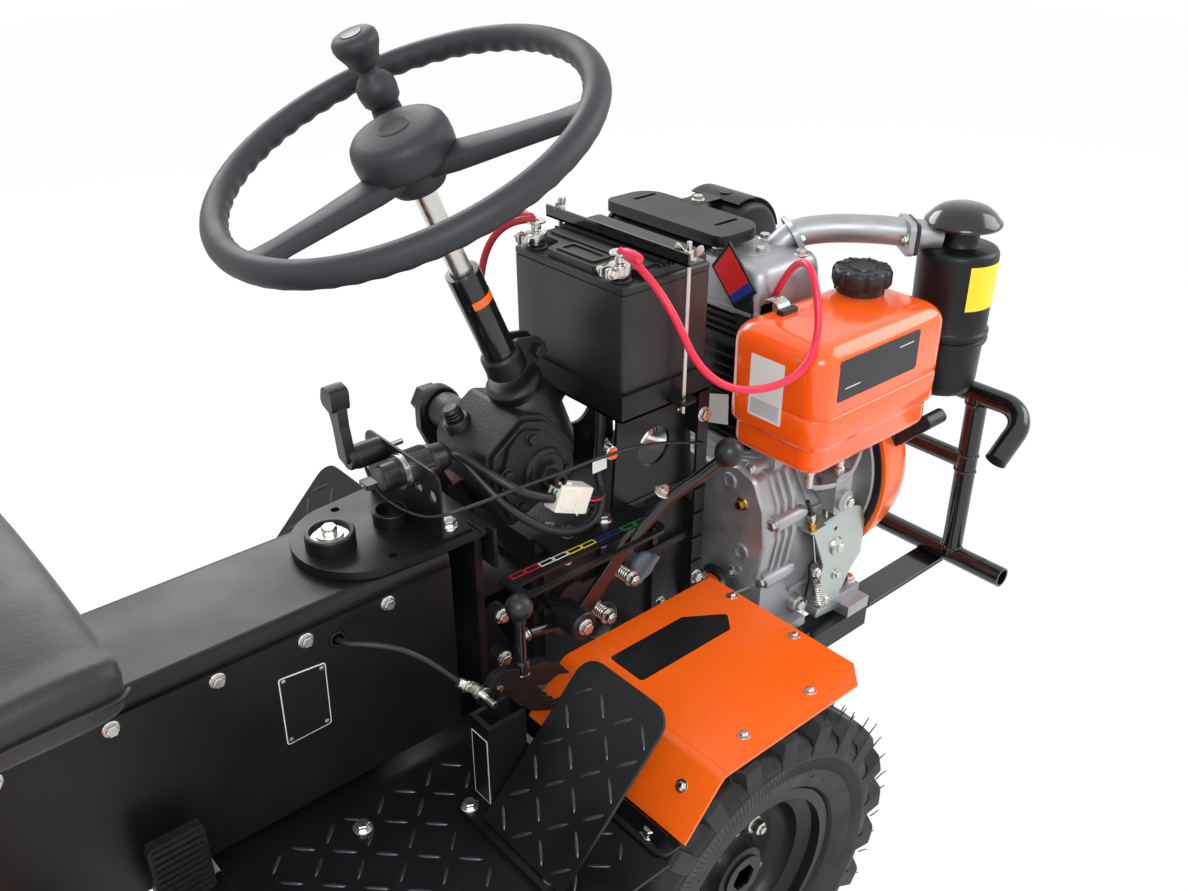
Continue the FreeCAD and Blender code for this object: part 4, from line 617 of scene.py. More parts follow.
def steering_wheel():
    """Foam rim with finger waves, three padded spokes, domed hub and spinner knob."""
    wheel = Piece("steering_wheel_rim", WHEEL_FOAM)
    rings = []
    around, sides, waves = 384, 18, 52
    for i in range(around):
        turn = 360 * i / around
        middle = wheel_place(turn, GRIP_CIRCLE, 0)
        outward = wheel_place(turn, GRIP_CIRCLE + 1, 0) - middle
        dent = 1.7 * (1 - cos(2 * pi * waves * i / around)) / 2
        ring = []
        for k in range(sides):
            a = 2 * pi * k / sides
            under = max(0.0, cos(a - radians(235)))
            r = GRIP - 0.2 - dent * under ** 0.7
            ring.append(middle + outward * cos(a) * r + COLUMN_UP * sin(a) * r)
        rings.append(ring)
    wheel.loft(rings, looped=True)
    for turn in (180, 60, -60):
        spoke(wheel, turn + SPOKE_TURN)
    wheel.done(["steering_wheel"], body="steering_wheel", crease=50)

    hub = Piece("steering_wheel_hub", WHEEL_FOAM)
    cap = [(0, 20.5), (24, 20.2), (38, 19), (45, 16.5), (49, 12), (51, 5), (51.5, -4), (51, -12), (49, -17),
           (44, -20), (36, -22), (34, -28), (32, -38), (27, -45.5), (0, -45.5)]
    hub.turned(cap, WHEEL_CENTRE, COLUMN_UP, steps=64)
    # shallow round dish left blank on the cap
    dish = [(0, 20.9), (14, 20.9), (15.5, 21.4), (17, 20.6), (17, 19)]
    hub.turned(dish, WHEEL_CENTRE, COLUMN_UP, steps=48)
    hub.done(body="steering_wheel", crease=50)

    knob = Piece("steering_knob", WHEEL_FOAM, BLACK_PLASTIC)
    foot = wheel_place(60 + SPOKE_TURN, 119, -6)
    collar = [(15, 0), (20, 6), (21.5, 16), (21, 24), (17, 30), (12, 34), (10, 40), (10.5, 52)]
    knob.turned(collar, foot, COLUMN_UP, steps=32)
    grip = [(0, 44), (13, 44), (17, 47), (17.5, 51), (20, 57), (23.5, 64), (25, 70), (24, 75.2), (21, 78.4),
            (16, 79.8), (0, 80.2)]
    knob.turned(grip, foot, COLUMN_UP)
    knob.turned([(0, 80.4), (9, 80.4), (11, 80.7), (12, 79.8), (12, 77.4)], foot, COLUMN_UP, 1, steps=32)
    knob.done(body="steering_wheel", crease=50)


def spoke(wheel, turn):
    """Padded spoke: broad and low at the hub, narrower where it runs into the grip."""
    across = wheel_place(turn + 90, 1, 0) - WHEEL_CENTRE
    rings = []
    for share, wide, thick, drop in ((0.0, 22, 11, -22), (0.18, 20, 10.5, -20), (0.5, 16.5, 9, -13),
                                     (0.8, 14, 8.4, -6), (0.93, 15, 9, -3), (1.0, 20, 11, -2)):
        reach = 26 + share * (GRIP_CIRCLE - 31)
        middle = wheel_place(turn, reach, drop)
        ring = []
        for k in range(16):
            a = 2 * pi * k / 16
            ca, sa = cos(a), sin(a)
            ring.append(middle + across * wide * copysign(abs(ca) ** 0.55, ca)
                        + COLUMN_UP * thick * copysign(abs(sa) ** 0.7, sa))
        rings.append(ring)
    wheel.loft(rings)


def steering_gear():
    """Cast gear with its raised rails, sector cover, column tube and split clamp."""
    box = Piece("steering_gear_housing", BLACK_CASTING)
    # worm housing along the column
    worm = [(30, 0), (33, 3), (33, 14), (38, 18), (41, 30), (42, 70), (40, 96), (35, 106), (30, 112),
            (30, 118), (33.5, 121), (34, 126), (30, 130), (26, 131)]
    box.turned(worm, column_place(702), COLUMN_UP, steps=40)
    # square shouldered middle of the casting around the sector shaft
    middle = [(-62, -58), (46, -58), (58, -20), (40, 40), (14, 62), (-46, 50), (-66, 8)]
    box.slab(rounded(middle, 12), SECTOR_SHAFT + Y * 50, COLUMN_OUT, COLUMN_UP, 96)
    # raised rail along the cover's edge
    rail = [(-56, -52), (42, -52), (52, -18), (36, 36), (12, 56), (-42, 45), (-59, 6)]
    box.slab(rounded(rail, 10), SECTOR_SHAFT - Y * 46, COLUMN_OUT, COLUMN_UP, 6)
    # filler boss at the back of the casting
    boss, lean = at(-136, 26, 762), (-0.35, 0.15, 1)
    box.turned([(17, -20), (17, 16), (15, 19)], boss, lean, steps=24)
    plug = [(0, 19), (11.5, 19), (12, 22), (10.5, 24), (12, 26), (10.5, 28), (12, 30), (9, 34), (0, 35)]
    box.turned(plug, boss, lean, steps=18)
    # output sleeve to the left
    sleeve = [(44, 46), (44, 58), (36, 66), (27, 70), (26, 92), (23, 96), (23, 130)]
    box.turned(sleeve, SECTOR_SHAFT, Y)
    box.done(["steering_box"], edge=2.2, crease=38)

    cover = Piece("steering_gear_cover", BLACK_CASTING)
    face = SECTOR_SHAFT - Y * 52
    outline = [(-50, -44), (38, -46), (46, -18), (24, 34), (4, 52), (-22, 44), (-52, 8)]
    cover.slab(rounded(outline, 12), face, COLUMN_OUT, COLUMN_UP, 5)
    boss = face + COLUMN_OUT * 4 - COLUMN_UP * 12
    cover.turned([(33, 0), (33, 3), (29, 5), (28, 9), (24, 11), (23, 14)], boss, -Y, steps=40)
    cover.bolt(boss - Y * 14, -Y, 27, height=8, flange=False)
    screw = [(9.5, 8), (9.5, 26), (8.5, 27), (5, 27), (5, 20)]
    cover.turned(screw, boss - Y * 12, -Y, steps=24)
    for out, up in ((-40, -32), (30, -34), (8, 36), (-38, 18)):
        cover.bolt(face + COLUMN_OUT * out + COLUMN_UP * up - Y * 5, -Y, 12)
    cover.done(edge=0.8)

    tube = Piece("steering_column_tube", BLACK_ENAMEL, BLACK_CASTING, ORANGE_COAT, WHITE_FILM)
    bore, foot, head = 12.6, 846, 963
    length = (head - foot) / cos(RAKE)
    wall = [(bore, 0), (TUBE_RADIUS, 0), (TUBE_RADIUS, length), (bore, length)]
    tube.turned(wall, column_place(foot), COLUMN_UP, steps=40, closed=True)
    # split clamp at the foot of the tube, with its pinch bolt and ears
    low = column_place(834)
    clamp = [(14, 0), (23, 0), (24, 4), (24, 24), (21, 28), (14, 28)]
    tube.turned(clamp, low, COLUMN_UP, 1, steps=36, closed=True)
    ear = rounded([(10, -2), (44, -10), (50, 4), (46, 18), (20, 34), (10, 34)], 6)
    for left in (-8, 14):
        tube.slab(ear, low + Y * left, COLUMN_OUT, COLUMN_UP, 6, 1)
    pinch = low + COLUMN_OUT * 36 + COLUMN_UP * 6
    tube.disc(5, 22, pinch, Y, 1, steps=12, start=-22)
    for way in (-Y, Y):
        tube.bolt(pinch + way * 15, way, 14, height=9, look=1, flange=False)
    # paint band that marks straight ahead, and a plain chalk mark below it
    band = around_tube(926, range(10, 131, 8))
    for a, b in zip(band, band[1:]):
        tube.skin([a, b, b + COLUMN_UP * 10, a + COLUMN_UP * 10], [(0, 1, 2, 3)], 2)
    mark = around_tube(912, range(16, 44, 4))
    for i, (a, b) in enumerate(zip(mark, mark[1:])):
        drop, rise = COLUMN_UP * (5 + 3 * sin(i * 1.4)), COLUMN_UP * 3
        tube.skin([a - drop, b - drop, b + rise, a + rise], [(0, 1, 2, 3)], 3)
    tube.done(edge=0.6)
    coat("steering_shaft", ZINC)


def around_tube(height, turns):
    """Points just off the column tube; turns are degrees from its front towards the right."""
    middle = column_place(height)
    return [middle + ray(radians(turn), COLUMN_OUT, -Y) * (TUBE_RADIUS + 0.25) for turn in turns]


def pitman_and_link():
    """Forged arm that hangs from the sector shaft and pulls the drag link."""
    arm = Piece("pitman_arm_forging", BLACK_CASTING)
    outline = [(-30, 22), (-30, -22), (-14, -60), (-13, -164), (13, -164), (14, -60), (30, -22), (30, 22)]
    radii = [22, 14, 20, 12, 12, 20, 14, 22]
    arm.slab(rounded(outline, radii), SECTOR_SHAFT + Y * 149, X, Z, 13)
    hub = [(26, 133), (28, 137), (28, 150), (24, 153)]
    arm.turned(hub, SECTOR_SHAFT, Y, steps=32)
    arm.bolt(SECTOR_SHAFT + Y * 153, Y, 38, height=20, flange=False)
    arm.done(["pitman_arm"], body="pitman_arm", edge=1.6)
    coat("drag_link", ZINC)


# ---------------- battery
BATTERY_TOP = 950.0
HOLD_DOWN = 84      # the clamp's bar, ahead of the case's rear face


def battery():
    """Case with its stepped lid and handle, terminals with clamps, and the folded tray."""
    low, high = node_box("battery")
    middle = (low + high) / 2
    rear = low.x
    half_x, half_y = (high.x - low.x) / 2, (high.y - low.y) / 2
    top = BATTERY_TOP
    case = Piece("battery_case", BATTERY_CASE, BLACK_PLASTIC)
    rings = []
    for z, inset in ((low.z, 2.0), (low.z + 3, 0.8), (low.z + 60, 0.6), (top - 24, 0.2), (top - 24, 1.8),
                     (top - 22, 1.8), (top - 22, 0.0), (top - 16, 0.0), (top - 14, 1.6)):
        outline = rounded_box(half_x - inset, half_y - inset, 6, 4)
        rings.append([Vector((middle.x + u, middle.y + v, z)) for u, v in outline])
    case.loft(rings)
    # lid: raised centre with the terminal corners cut back, and two ridges
    front = half_x * 2 - 3
    step = [(34, -half_y + 4), (front, -half_y + 4), (front, half_y - 4), (34, half_y - 4), (34, 50),
            (6, 42), (6, -42), (34, -50)]
    lid = rounded(step, [6, 4, 4, 6, 10, 6, 6, 10], 4)
    case.slab(lid, (rear, middle.y, top - 15), X, Y, 10)
    for a, b, wide, radius, thick in ((44, 60, 84, 3, 4), (66, 128, 88, 4, 6)):
        ridge = rectangle(a, -wide, b, wide, radius)
        case.slab(ridge, (rear, middle.y, top - 6), X, Y, thick)
    # folded carrying handle lying in its recess
    handle = rectangle(12, -34, 40, 34, 5)
    hole = rounded([(17, -28), (35, -28), (35, 28), (17, 28)][::-1], 4)
    case.slab(handle, (rear, middle.y, top - 5.5), X, Y, 3, 1, holes=[hole])
    case.slab(hole[::-1], (rear, middle.y, top - 5.6), X, Y, 0.8)
    for v in (-88, 88):
        for k in range(9):
            x = rear + 60 + k * 7
            case.block((x, middle.y + v - 5, top - 6), (x + 2.4, middle.y + v + 5, top - 2))
    case.done(["battery"], edge=0.9)

    posts = Piece("battery_terminals", ZINC, BLACK_PLASTIC)
    for hand in (-1, 1):
        spot = Vector((rear + 16, middle.y + hand * (half_y - 24), top - 14))
        posts.turned([(15, 0), (15, 2), (12, 4)], spot, Z, 1, steps=28)
        posts.disc(8.5, 20, spot, Z, steps=24, top=7.6, start=4)
        # clamp round the post with its cross bolt
        ring = [(7.8, 7), (12.5, 7), (13, 9), (13, 17), (12.5, 19), (7.8, 19)]
        posts.turned(ring, spot, Z, steps=28, closed=True)
        ear = spot + Z * 13
        for gap in (-4.5, 4.5):
            posts.slab(rounded_box(8, 6, 2, 3), ear - X * 16 + Y * (gap + 1.6), X, Z, 3.2)
        posts.bolt(ear - X * 17 - Y * 7, -Y, 10, height=6)
        posts.bolt(ear - X * 17 + Y * 7, Y, 10, height=6, stud=4)
        posts.turned([(6, 0), (6.5, 3), (5.5, 7)], ear + Z * 8, Z, steps=14)
    posts.done(edge=0.5)

    tray = Piece("battery_tray_folded", BLACK_POWDER)
    tray_low, tray_high = node_box("battery_tray")
    wall, room = 3, 3.3
    wide = half_y + room
    back, front = low.x - room, high.x + room
    foot, rim = tray_low.z, tray_high.z
    tray.block((back, -wide, foot), (front, wide, foot + wall))
    for x0, y0, x1, y1 in ((back, -wide, back + wall, wide), (front - wall, -wide, front, wide),
                           (back + wall, -wide, front - wall, -wide + wall),
                           (back + wall, wide - wall, front - wall, wide)):
        tray.block((x0, y0, foot), (x1, y1, rim))
    ear = rounded([(-15, 0), (15, 0), (12, 23), (-12, 23)], [0.1, 0.1, 6, 6])
    for hand in (-1, 1):
        place = Vector((low.x + HOLD_DOWN, hand * wide, low.z + 2))
        tray.slab(ear, place, X * hand, Y * hand, 4, holes=[circle(5, 14, 0, 14)[::-1]])
    tray.done(["battery_tray"], edge=0.8)


def battery_clamp():
    """Angle bar over the battery, with two hooked rods and their wing nuts."""
    low, high = node_box("battery")
    half = (high.y - low.y) / 2
    x, top = low.x + HOLD_DOWN, BATTERY_TOP + 0.4
    reach = half + 26
    bar = Piece("battery_hold_down", BLACK_ENAMEL, ZINC)
    bar.block((x - 13, -reach, top), (x + 13, reach, top + 3.4))
    bar.block((x - 13, -reach, top), (x - 9.6, reach, top + 15))
    blade = rounded([(3, 2), (10, 4), (17, 12), (15, 19), (10, 16), (4, 9)], 2.2, 3)
    mirrored = [(-a, b) for a, b in blade][::-1]
    for hand, tilt in ((-1, 2.1), (1, 0.5)):
        y = hand * (half + 14)
        foot = Vector((x, y, low.z - 6))
        hook = [foot + Vector((0, -a * hand, up)) for a, up in ((7, -4), (5, -7), (0, -6), (0, 4))]
        bar.tube([*hook, Vector((x, y, top + 24))], 3.1, 1, sides=12)
        spot = Vector((x, y, top + 3.4))
        bar.disc(8.5, 1.6, spot, Z, 1, steps=20)
        bar.disc(6.5, 10, spot, Z, 1, steps=16, top=5.5, start=1.6)
        wing = ray(tilt, X, Y)
        for outline in (mirrored, blade):
            bar.slab(outline, spot + wing.cross(Z) * -1.1, wing, Z, 2.2, 1)
    bar.done(["battery_clamp"], edge=0.8)


# ---------------- fuel tank
def fuel_tank():
    """Drawn tank with its rolled seam, blank labels, strap ends and fluted cap."""
    low, high = node_box("fuel_tank")
    rear = low.x - 27
    half_x, half_y = (high.x - rear) / 2, (high.y - low.y) / 2
    middle = Vector(((rear + high.x) / 2, (low.y + high.y) / 2, 0))
    tank = Piece("fuel_tank_shell", ORANGE_ENAMEL)
    quarter = [radians(15 * k) for k in range(7)]
    levels = [(low.z + 14 - 14 * cos(a), 20 - 14 * sin(a)) for a in quarter]
    levels += [(low.z + up, inset) for up, inset in ((34, 6), (38, 5), (41, 1.2), (44, 0), (76, 0), (78, 0.6),
                                                     (79, 2.2), (81, 2.2), (82, 0.6), (84, 0))]
    shoulder = 26
    for k in range(9):
        a = radians(90 * k / 8)
        levels.append((high.z - shoulder + shoulder * sin(a) - 0.2, shoulder - shoulder * cos(a)))
    rings = []
    for z, inset in levels:
        outline = rounded_box(half_x - inset, half_y - inset, max(shoulder - inset * 0.5, 6), 7)
        rings.append([middle + Vector((u, v, z)) for u, v in outline])
    tank.loft(rings)
    tank.done(["fuel_tank"], crease=50)

    trim = Piece("fuel_tank_labels", BLACK_FILM, WHITE_FILM, GREY_FILM)
    face = low.y - 0.25
    trim.upright(rectangle(209, 784, 362, 836, 4), face + 0.2, 0.4)
    for a, b in ((222, 798), (322, 822)):
        trim.block(at(a, face - 0.4, b), at(a + 28, face, b + 1.6), 2)
    # blank notice on the rear wall beside the corner
    notice = rectangle(131, 742, 183, 822, 2)
    trim.slab(notice, (rear - 0.25, 0, 0), -Y, Z, 0.4, 1)
    field = rectangle(135, 746, 179, 766, 1)
    trim.slab(field, (rear - 0.5, 0, 0), -Y, Z, 0.4, 2)
    trim.done()

    straps = Piece("fuel_tank_straps", ZINC_SHEET, BLACK_PVC)
    arch = [(0, 0), (0, 6), (6, 15), (16, 19), (26, 17), (32, 8), (32, -6)]
    run = [(high.y - 34 + a, high.z - 5 + b) for a, b in arch]
    for x in (low.x + 40, high.x - 40):
        for (ya, za), (yb, zb) in zip(run, run[1:]):
            corners = [(x - 11, ya, za), (x + 11, ya, za), (x + 11, yb, zb), (x - 11, yb, zb)]
            under = [(a, b, up - 2) for a, b, up in corners]
            straps.skin(corners + under, [(0, 1, 2, 3), (7, 6, 5, 4), (0, 4, 5, 1), (3, 2, 6, 7),
                                          (0, 3, 7, 4), (1, 5, 6, 2)])
        straps.block((x - 14, high.y - 40, high.z - 1.5), (x + 14, high.y - 30, high.z + 6), 1)
    straps.done(edge=0.5)

    cap_low, cap_high = node_box("fuel_cap")
    spot = Vector(((cap_low.x + cap_high.x) / 2, (cap_low.y + cap_high.y) / 2, cap_low.z))
    cap = Piece("fuel_cap_moulding", BLACK_PLASTIC)

    def flutes(turn, radius, along):
        return -3.4 * max(0.0, cos(turn * 8)) ** 3 if radius > 30 and along > 6 else 0.0
    shell = [(0, 0), (30, 0), (30, 8), (36, 10), (37.8, 13), (37.8, 27), (36, 30.5), (33, 32), (26, 32.4),
             (25, 31), (18, 31), (17, 33), (0, 34.4)]
    cap.turned(shell, spot, Z, steps=96, wave=flutes)
    for k in range(8):
        way = ray(2 * pi * k / 8 + 0.39, X, Y)
        cap.slab(rounded_box(4.6, 1.2, 1, 2), spot + way * 30 + Z * 31.6, way, Z.cross(way), 1.2)
    cap.done(["fuel_cap"], crease=40)


# ---------------- air cleaner, intake, exhaust
def air_cleaner():
    """Can with its rolled seam and hat, a blank label, and the pipe to the rocker cover."""
    low, high = node_box("air_cleaner")
    foot = Vector(((low.x + high.x) / 2, (low.y + high.y) / 2, low.z))
    can = Piece("air_cleaner_can", BLACK_POWDER, BLACK_ENAMEL)
    shell = [(34, 0.3), (42, 2), (46, 8), (47.5, 18), (48.5, 62), (49.5, 72), (52, 73), (53.8, 76),
             (53.8, 80), (51, 82), (51, 84), (53.8, 86), (53.8, 90), (52, 92), (50.5, 94), (51.5, 150),
             (52, 190), (51.5, 196), (49, 200), (44, 202), (26, 203.5), (24, 206), (23.5, 222), (25, 229)]
    can.turned(shell, foot, Z, steps=64)
    hat = [(0, 228), (43, 228), (48.5, 230), (50, 233), (49, 236), (45.5, 239), (40, 246), (31, 252.5),
           (18, 256.5), (0, 257.5)]
    can.turned(hat, foot, Z, 1, steps=64)
    # over-centre clips on the seam
    for turn in (200, 330):
        way = ray(radians(turn), X, Y)
        can.slab(rounded_box(7, 13, 2, 3), foot + way * 52 + Z * 76, Z.cross(way), Z, 3)
    can.done(["air_cleaner"], crease=40)

    label = Piece("air_cleaner_label", YELLOW_FILM)
    ways = [ray(radians(232 + 7.4 * k), X, Y) for k in range(9)]
    edges = [(foot + way * 52.4 + Z * 128, foot + way * 52.6 + Z * 188) for way in ways]
    for (low_a, high_a), (low_b, high_b) in zip(edges, edges[1:]):
        label.skin([low_a, low_b, high_b, high_a], [(0, 1, 2, 3)])
    label.done()

    pipe = Piece("intake_pipe", DIE_CAST, BLACK_PLASTIC, ZINC)
    run = [at(343, -12, 872), at(350, -18, 888), at(368, -30, 903), at(400, -60, 910), at(440, -104, 911),
           foot + Vector((-42, 34, 217)), foot + Vector((-22, 18, 214))]
    pipe.tube(through(run, 8), 18.5, sides=24)
    # oval flange on the rocker cover's side with its two bolts
    way = Vector((0.72, -0.5, 0.48)).normalized()
    u, v = basis(way)
    seat_spot = at(362, -26, 899)
    pipe.slab(rounded_box(32, 22, 16, 6), seat_spot, u, v, 7)
    for hand in (-1, 1):
        pipe.bolt(seat_spot + u * 25 * hand + way * 7, way, 10, look=2)
    # flange and gasket at the cleaner's neck
    flange = foot + Vector((-60, 48, 216))
    way = (foot + Z * 214 - flange).normalized()
    u, v = basis(way)
    pipe.slab(rounded_box(30, 22, 10, 4), flange, u, v, 8)
    pipe.slab(rounded_box(29, 21, 9, 4), flange + way * 9, u, v, 5, 1)
    for hand in (-1, 1):
        pipe.bolt(flange + u * 22 * hand, -way, 10, look=2, stud=3)
    pipe.done(["intake_elbow"], edge=1.0)


def exhaust():
    """Silencer lying across the engine under a slotted heat shield, with a round outlet drum."""
    drum = Piece("muffler_drum", BLACK_POWDER)
    for left, grow, deep in ((206, 0, 158), (208, 2, 5), (54, 2, 5)):
        drum.slab(rounded_box(42 + grow, 38 + grow, 30, 7), at(286, left, 866), X, Z, deep)
    shell = [(48, 0), (55, 3), (58, 8), (58, 96), (55, 101), (48, 104)]
    drum.turned(shell, at(395, 70, 857), Y, steps=56)
    start = at(303, 44, 810)
    bend = [start + Vector((0, left, up)) for left, up in ((0, 0), (14, 2), (34, 20), (46, 40))]
    drum.tube(through(bend, 5), 17, sides=20)
    outlet = [at(375, 142, 830), at(375, 150, 790), at(377, 150, 778)]
    drum.tube(through(outlet, 5), 13, sides=18)
    drum.done(["muffler"], crease=40)

    shield = Piece("muffler_heat_shield", BLACK_POWDER, ZINC, BLACK_CASTING)

    def lid(inset):
        rear, front, right, left = 243 + inset, 328 - inset, inset - 12, 212 - inset
        corners = [(rear, right), (front, right), (front, left), (rear, left)]
        return rounded(corners, [16 - inset, 34 - inset, 34 - inset, 16 - inset], 7)
    slot = rounded_box(21, 3.6, 3.5, 4)[::-1]
    shield.laid(lid(0.5), 917, 1.8, holes=[[(296 + a, left + b) for a, b in slot] for left in (30, 184)])
    levels = ((2, 917), (2, 904), (0, 904), (0, 917.6), (0.6, 918.7))
    shield.loft([[at(a, b, up) for a, b in lid(inset)] for inset, up in levels], caps=(False, False))
    # rolled cowl over the drum, with its sight hole, tab and bolt
    cowl = []
    for k in range(15):
        way = ray(radians(12 + 100 * k / 14))
        cowl.append([at(395, y, 857) + way * r for y, r in ((78, 62), (168, 62), (168, 64), (78, 64))])
    shield.loft(cowl)
    shield.disc(9, 1, at(391, 120, 920.7), Z, 2, steps=24)
    shield.block(at(322, 108, 917.4), at(372, 142, 919.2))
    shield.bolt(at(340, 124, 919.2), Z, 12, look=1)
    shield.done(edge=0.5)


# ---------------- wheels and tyres
HAIR_SEED = 7
LUGS = 22
DOWN = -pi / 2


def tyre(corner, outer):
    """Chevron tyre: lugs over the shoulder, ribbed sidewall band, moulding hairs."""
    low, high = node_box(f"tyre_{corner}")
    centre = (low + high) / 2
    radius = (high.z - low.z) / 2
    piece = Piece(f"tyre_{corner}_tread", TYRE_RUBBER)
    half = [(127.4, -40.5), (137, -41), (141, -50), (152, -54), (166, -57.5), (180, -59.5), (188, -60.3),
            (190, -61.0), (192.5, -60.6), (194, -59.5), (202, -59), (210, -54), (216, -46), (218.5, -34)]
    mirrored = [(r, -y) for r, y in half[::-1]]
    piece.turned([*half, (219.5, 0), *mirrored], centre, Y, steps=120, closed=True)
    step = 2 * pi / LUGS
    for hand in (-1, 1):
        for i in range(LUGS):
            middle = DOWN + i * step + (step / 2 if hand > 0 else 0) + 0.05
            tread_bar(piece, centre, middle, hand, 0.16 * outer, radius)
    sidewall_ribs(piece, centre)
    moulding_hairs(piece, centre, outer, radius, random.Random(HAIR_SEED + len(corner)))
    piece.done([f"tyre_{corner}"], body=f"{corner}_wheel", crease=30)


def sidewall_ribs(piece, centre):
    """Fine radial ribs on the band inside the ridge, on both sides."""
    for hand in (-1, 1):
        for i in range(180):
            a = 2 * pi * i / 180
            way, along = ray(a), ray(a, Z, -X)
            rib = [centre + way * r + along * s + Y * hand * y for r, s, y in
                   ((168, 1.3, 57.2), (168, -1.3, 57.2), (187, -1.3, 59.4), (187, 1.3, 59.4),
                    (169, 0, 59.0), (186, 0, 60.9))]
            piece.skin(rib, [(0, 1, 4), (2, 3, 5), (1, 2, 5, 4), (3, 0, 4, 5)])


def moulding_hairs(piece, centre, outer, radius, chance):
    """Thin rubber hairs that the mould's vents leave on the lugs, and on the outer sidewall."""
    rows = ((outer * 52, radius - 6, 17), (outer * 20, radius - 3, 11), (outer * -30, radius - 3, 9))
    for i in range(LUGS * 2):
        for y, start, room in rows:
            way = ray(DOWN + (i + 0.3 * chance.random()) * pi / LUGS)
            if way.z < -0.6:    # none where the tyre stands on the ground
                continue
            root = centre + way * start + Y * y
            bend = Vector((chance.uniform(-6, 6), outer * chance.uniform(-2, 5), chance.uniform(-6, 6)))
            hair = [root - way * 3, root + way * room * 0.5, root + way * room + bend * 0.4]
            piece.tube(hair, [1.0, 0.85, 0.6], sides=5)
    for i in range(26):
        way = ray(chance.uniform(0, 2 * pi))
        root = centre + way * chance.choice((158, 196, 204)) + Y * outer * 57
        tip = root + Y * outer * 3.2 + way * chance.uniform(-9, 9)
        piece.tube([root, (root + tip) / 2 + Y * outer, tip], [0.7, 0.6, 0.4], sides=5)


def tread_bar(piece, centre, middle, hand, slant, radius):
    """One lug, from the tread's middle over the shoulder; slant leans it into the chevron."""
    rings = []
    for y, top, foot, wide, lean in (
            (2, 1.2, 20, 13, 0.0), (24, 0.2, 20, 12.5, 0.42), (46, 1.0, 22, 12.4, 0.86),
            (55, 2.6, 26, 12.2, 1.0), (59.6, 8, 34, 12, 1.04), (60.6, 34, 46, 10.4, 1.06)):
        r_top, r_low = radius - top, radius - foot
        ring = []
        for r, s in ((r_low, -wide), (r_low, wide), (r_top - 1.2, wide), (r_top, wide - 1.4),
                     (r_top, 1.4 - wide), (r_top - 1.2, -wide)):
            ring.append(centre + ray(middle + slant * lean + s / r) * r + Y * hand * y)
        rings.append(ring)
    piece.loft(rings)


def wheel(corner, outer):
    """Deep-dished disc with a hexagon drive hub and a ring of bolts."""
    low, high = node_box(f"tyre_{corner}")
    centre = (low + high) / 2
    out = Y * outer
    piece = Piece(f"wheel_{corner}_disc", BLACK_POWDER, ZINC, BLACK_CASTING)
    rim = [(122, 45.8), (136, 45.8), (136, 41.5), (126.6, 41.3), (126.6, 28), (109, 18), (108, -18),
           (126.6, -28), (126.6, -41.3), (136, -41.5), (136, -45.8), (122, -45.8), (121, -33), (103, -22),
           (103, 4), (97, -6), (84, -9), (62, -9), (40, -9), (40, -4), (62, -4), (84, -3.5), (94, 0),
           (101, 10), (104, 23), (121, 33)]
    piece.turned(rim, centre, out, steps=72, closed=True)
    hub = [(0, -22), (42, -22), (46, -14), (46, 2), (40, 8), (38, 22), (34, 24), (24, 24)]
    piece.turned(hub, centre, out, 2, steps=40)
    # hexagon socket in the hub's face
    u, v = basis(out)
    piece.slab(circle(30, 36), centre + out * 23, u, v, 5, 2, holes=[circle(19, 6)[::-1]])
    piece.disc(29, 1, centre + out * 23, out, 2, steps=30)
    for k in range(6):
        way = ray(2 * pi * k / 6 + 0.5)
        piece.bolt(centre + way * 60 - out * 4, out, 17, height=12, look=1, stud=3)
    valve = [(5, 0), (4.5, 22), (3, 24)]
    piece.turned(valve, centre + ray(2.2) * 96 + out * 12, out, 2, steps=12)
    piece.done([f"wheel_{corner}"], body=f"{corner}_wheel", crease=38)


# ---------------- fenders
FENDER_FOOT = 450


def sheet_fender(name, node, axle, way, side, bolts):
    """Folded sheet: flat top with a nipped corner, rolled bend, slope down to the floor, inner skirt."""
    low, high = node_box(node)
    inner, outer = (low.y, high.y) if side > 0 else (high.y, low.y)
    top, wall, nip = high.z, 3.0, 27
    tip, bend, foot = axle + way * 140, axle - way * 110, axle - way * 163
    fender = Piece(name, ORANGE_COAT, ZINC)
    plate = [(tip, inner), (tip, outer - side * nip), (tip - way * nip, outer), (bend + way * 9, outer),
             (bend + way * 9, inner)]
    fender.slab(wound(plate), (0, 0, top - wall), X, Y, wall)
    slope = [(bend + way * 9, top), (bend + way * 3, top - 0.9), (bend - way * 3, top - 4.6),
             (foot, FENDER_FOOT), (foot + way * 2.2, FENDER_FOOT - 2), (bend - way, top - 7.8),
             (bend + way * 4, top - 3.8), (bend + way * 9, top - wall)]
    right, left = sorted((inner, outer))
    fender.slab(wound(slope), (0, left, 0), X, Z, left - right)
    rear, front = sorted((tip, bend))
    right, left = sorted((inner, inner + side * wall))
    fender.block((rear, right, top - 26), (front, left, top - wall))
    for ahead, out in bolts:
        seat, up = Vector((axle + ahead * way, out * side, top)), Z
        if ahead < -110:
            share = (-110 - ahead) / 53
            seat.z = top - share * (top - FENDER_FOOT)
            up = Vector((-way * 0.74, 0, 0.67))
        fender.disc(7.6, 0.8, seat, up, 1, steps=20)
        fender.turned([(0, 0.8), (5.6, 0.8), (5.2, 3), (3.4, 4.6), (0, 5)], seat, up, 1, steps=6)
    fender.done([node], body="front_unit" if way > 0 else "seat_unit", edge=0.7)


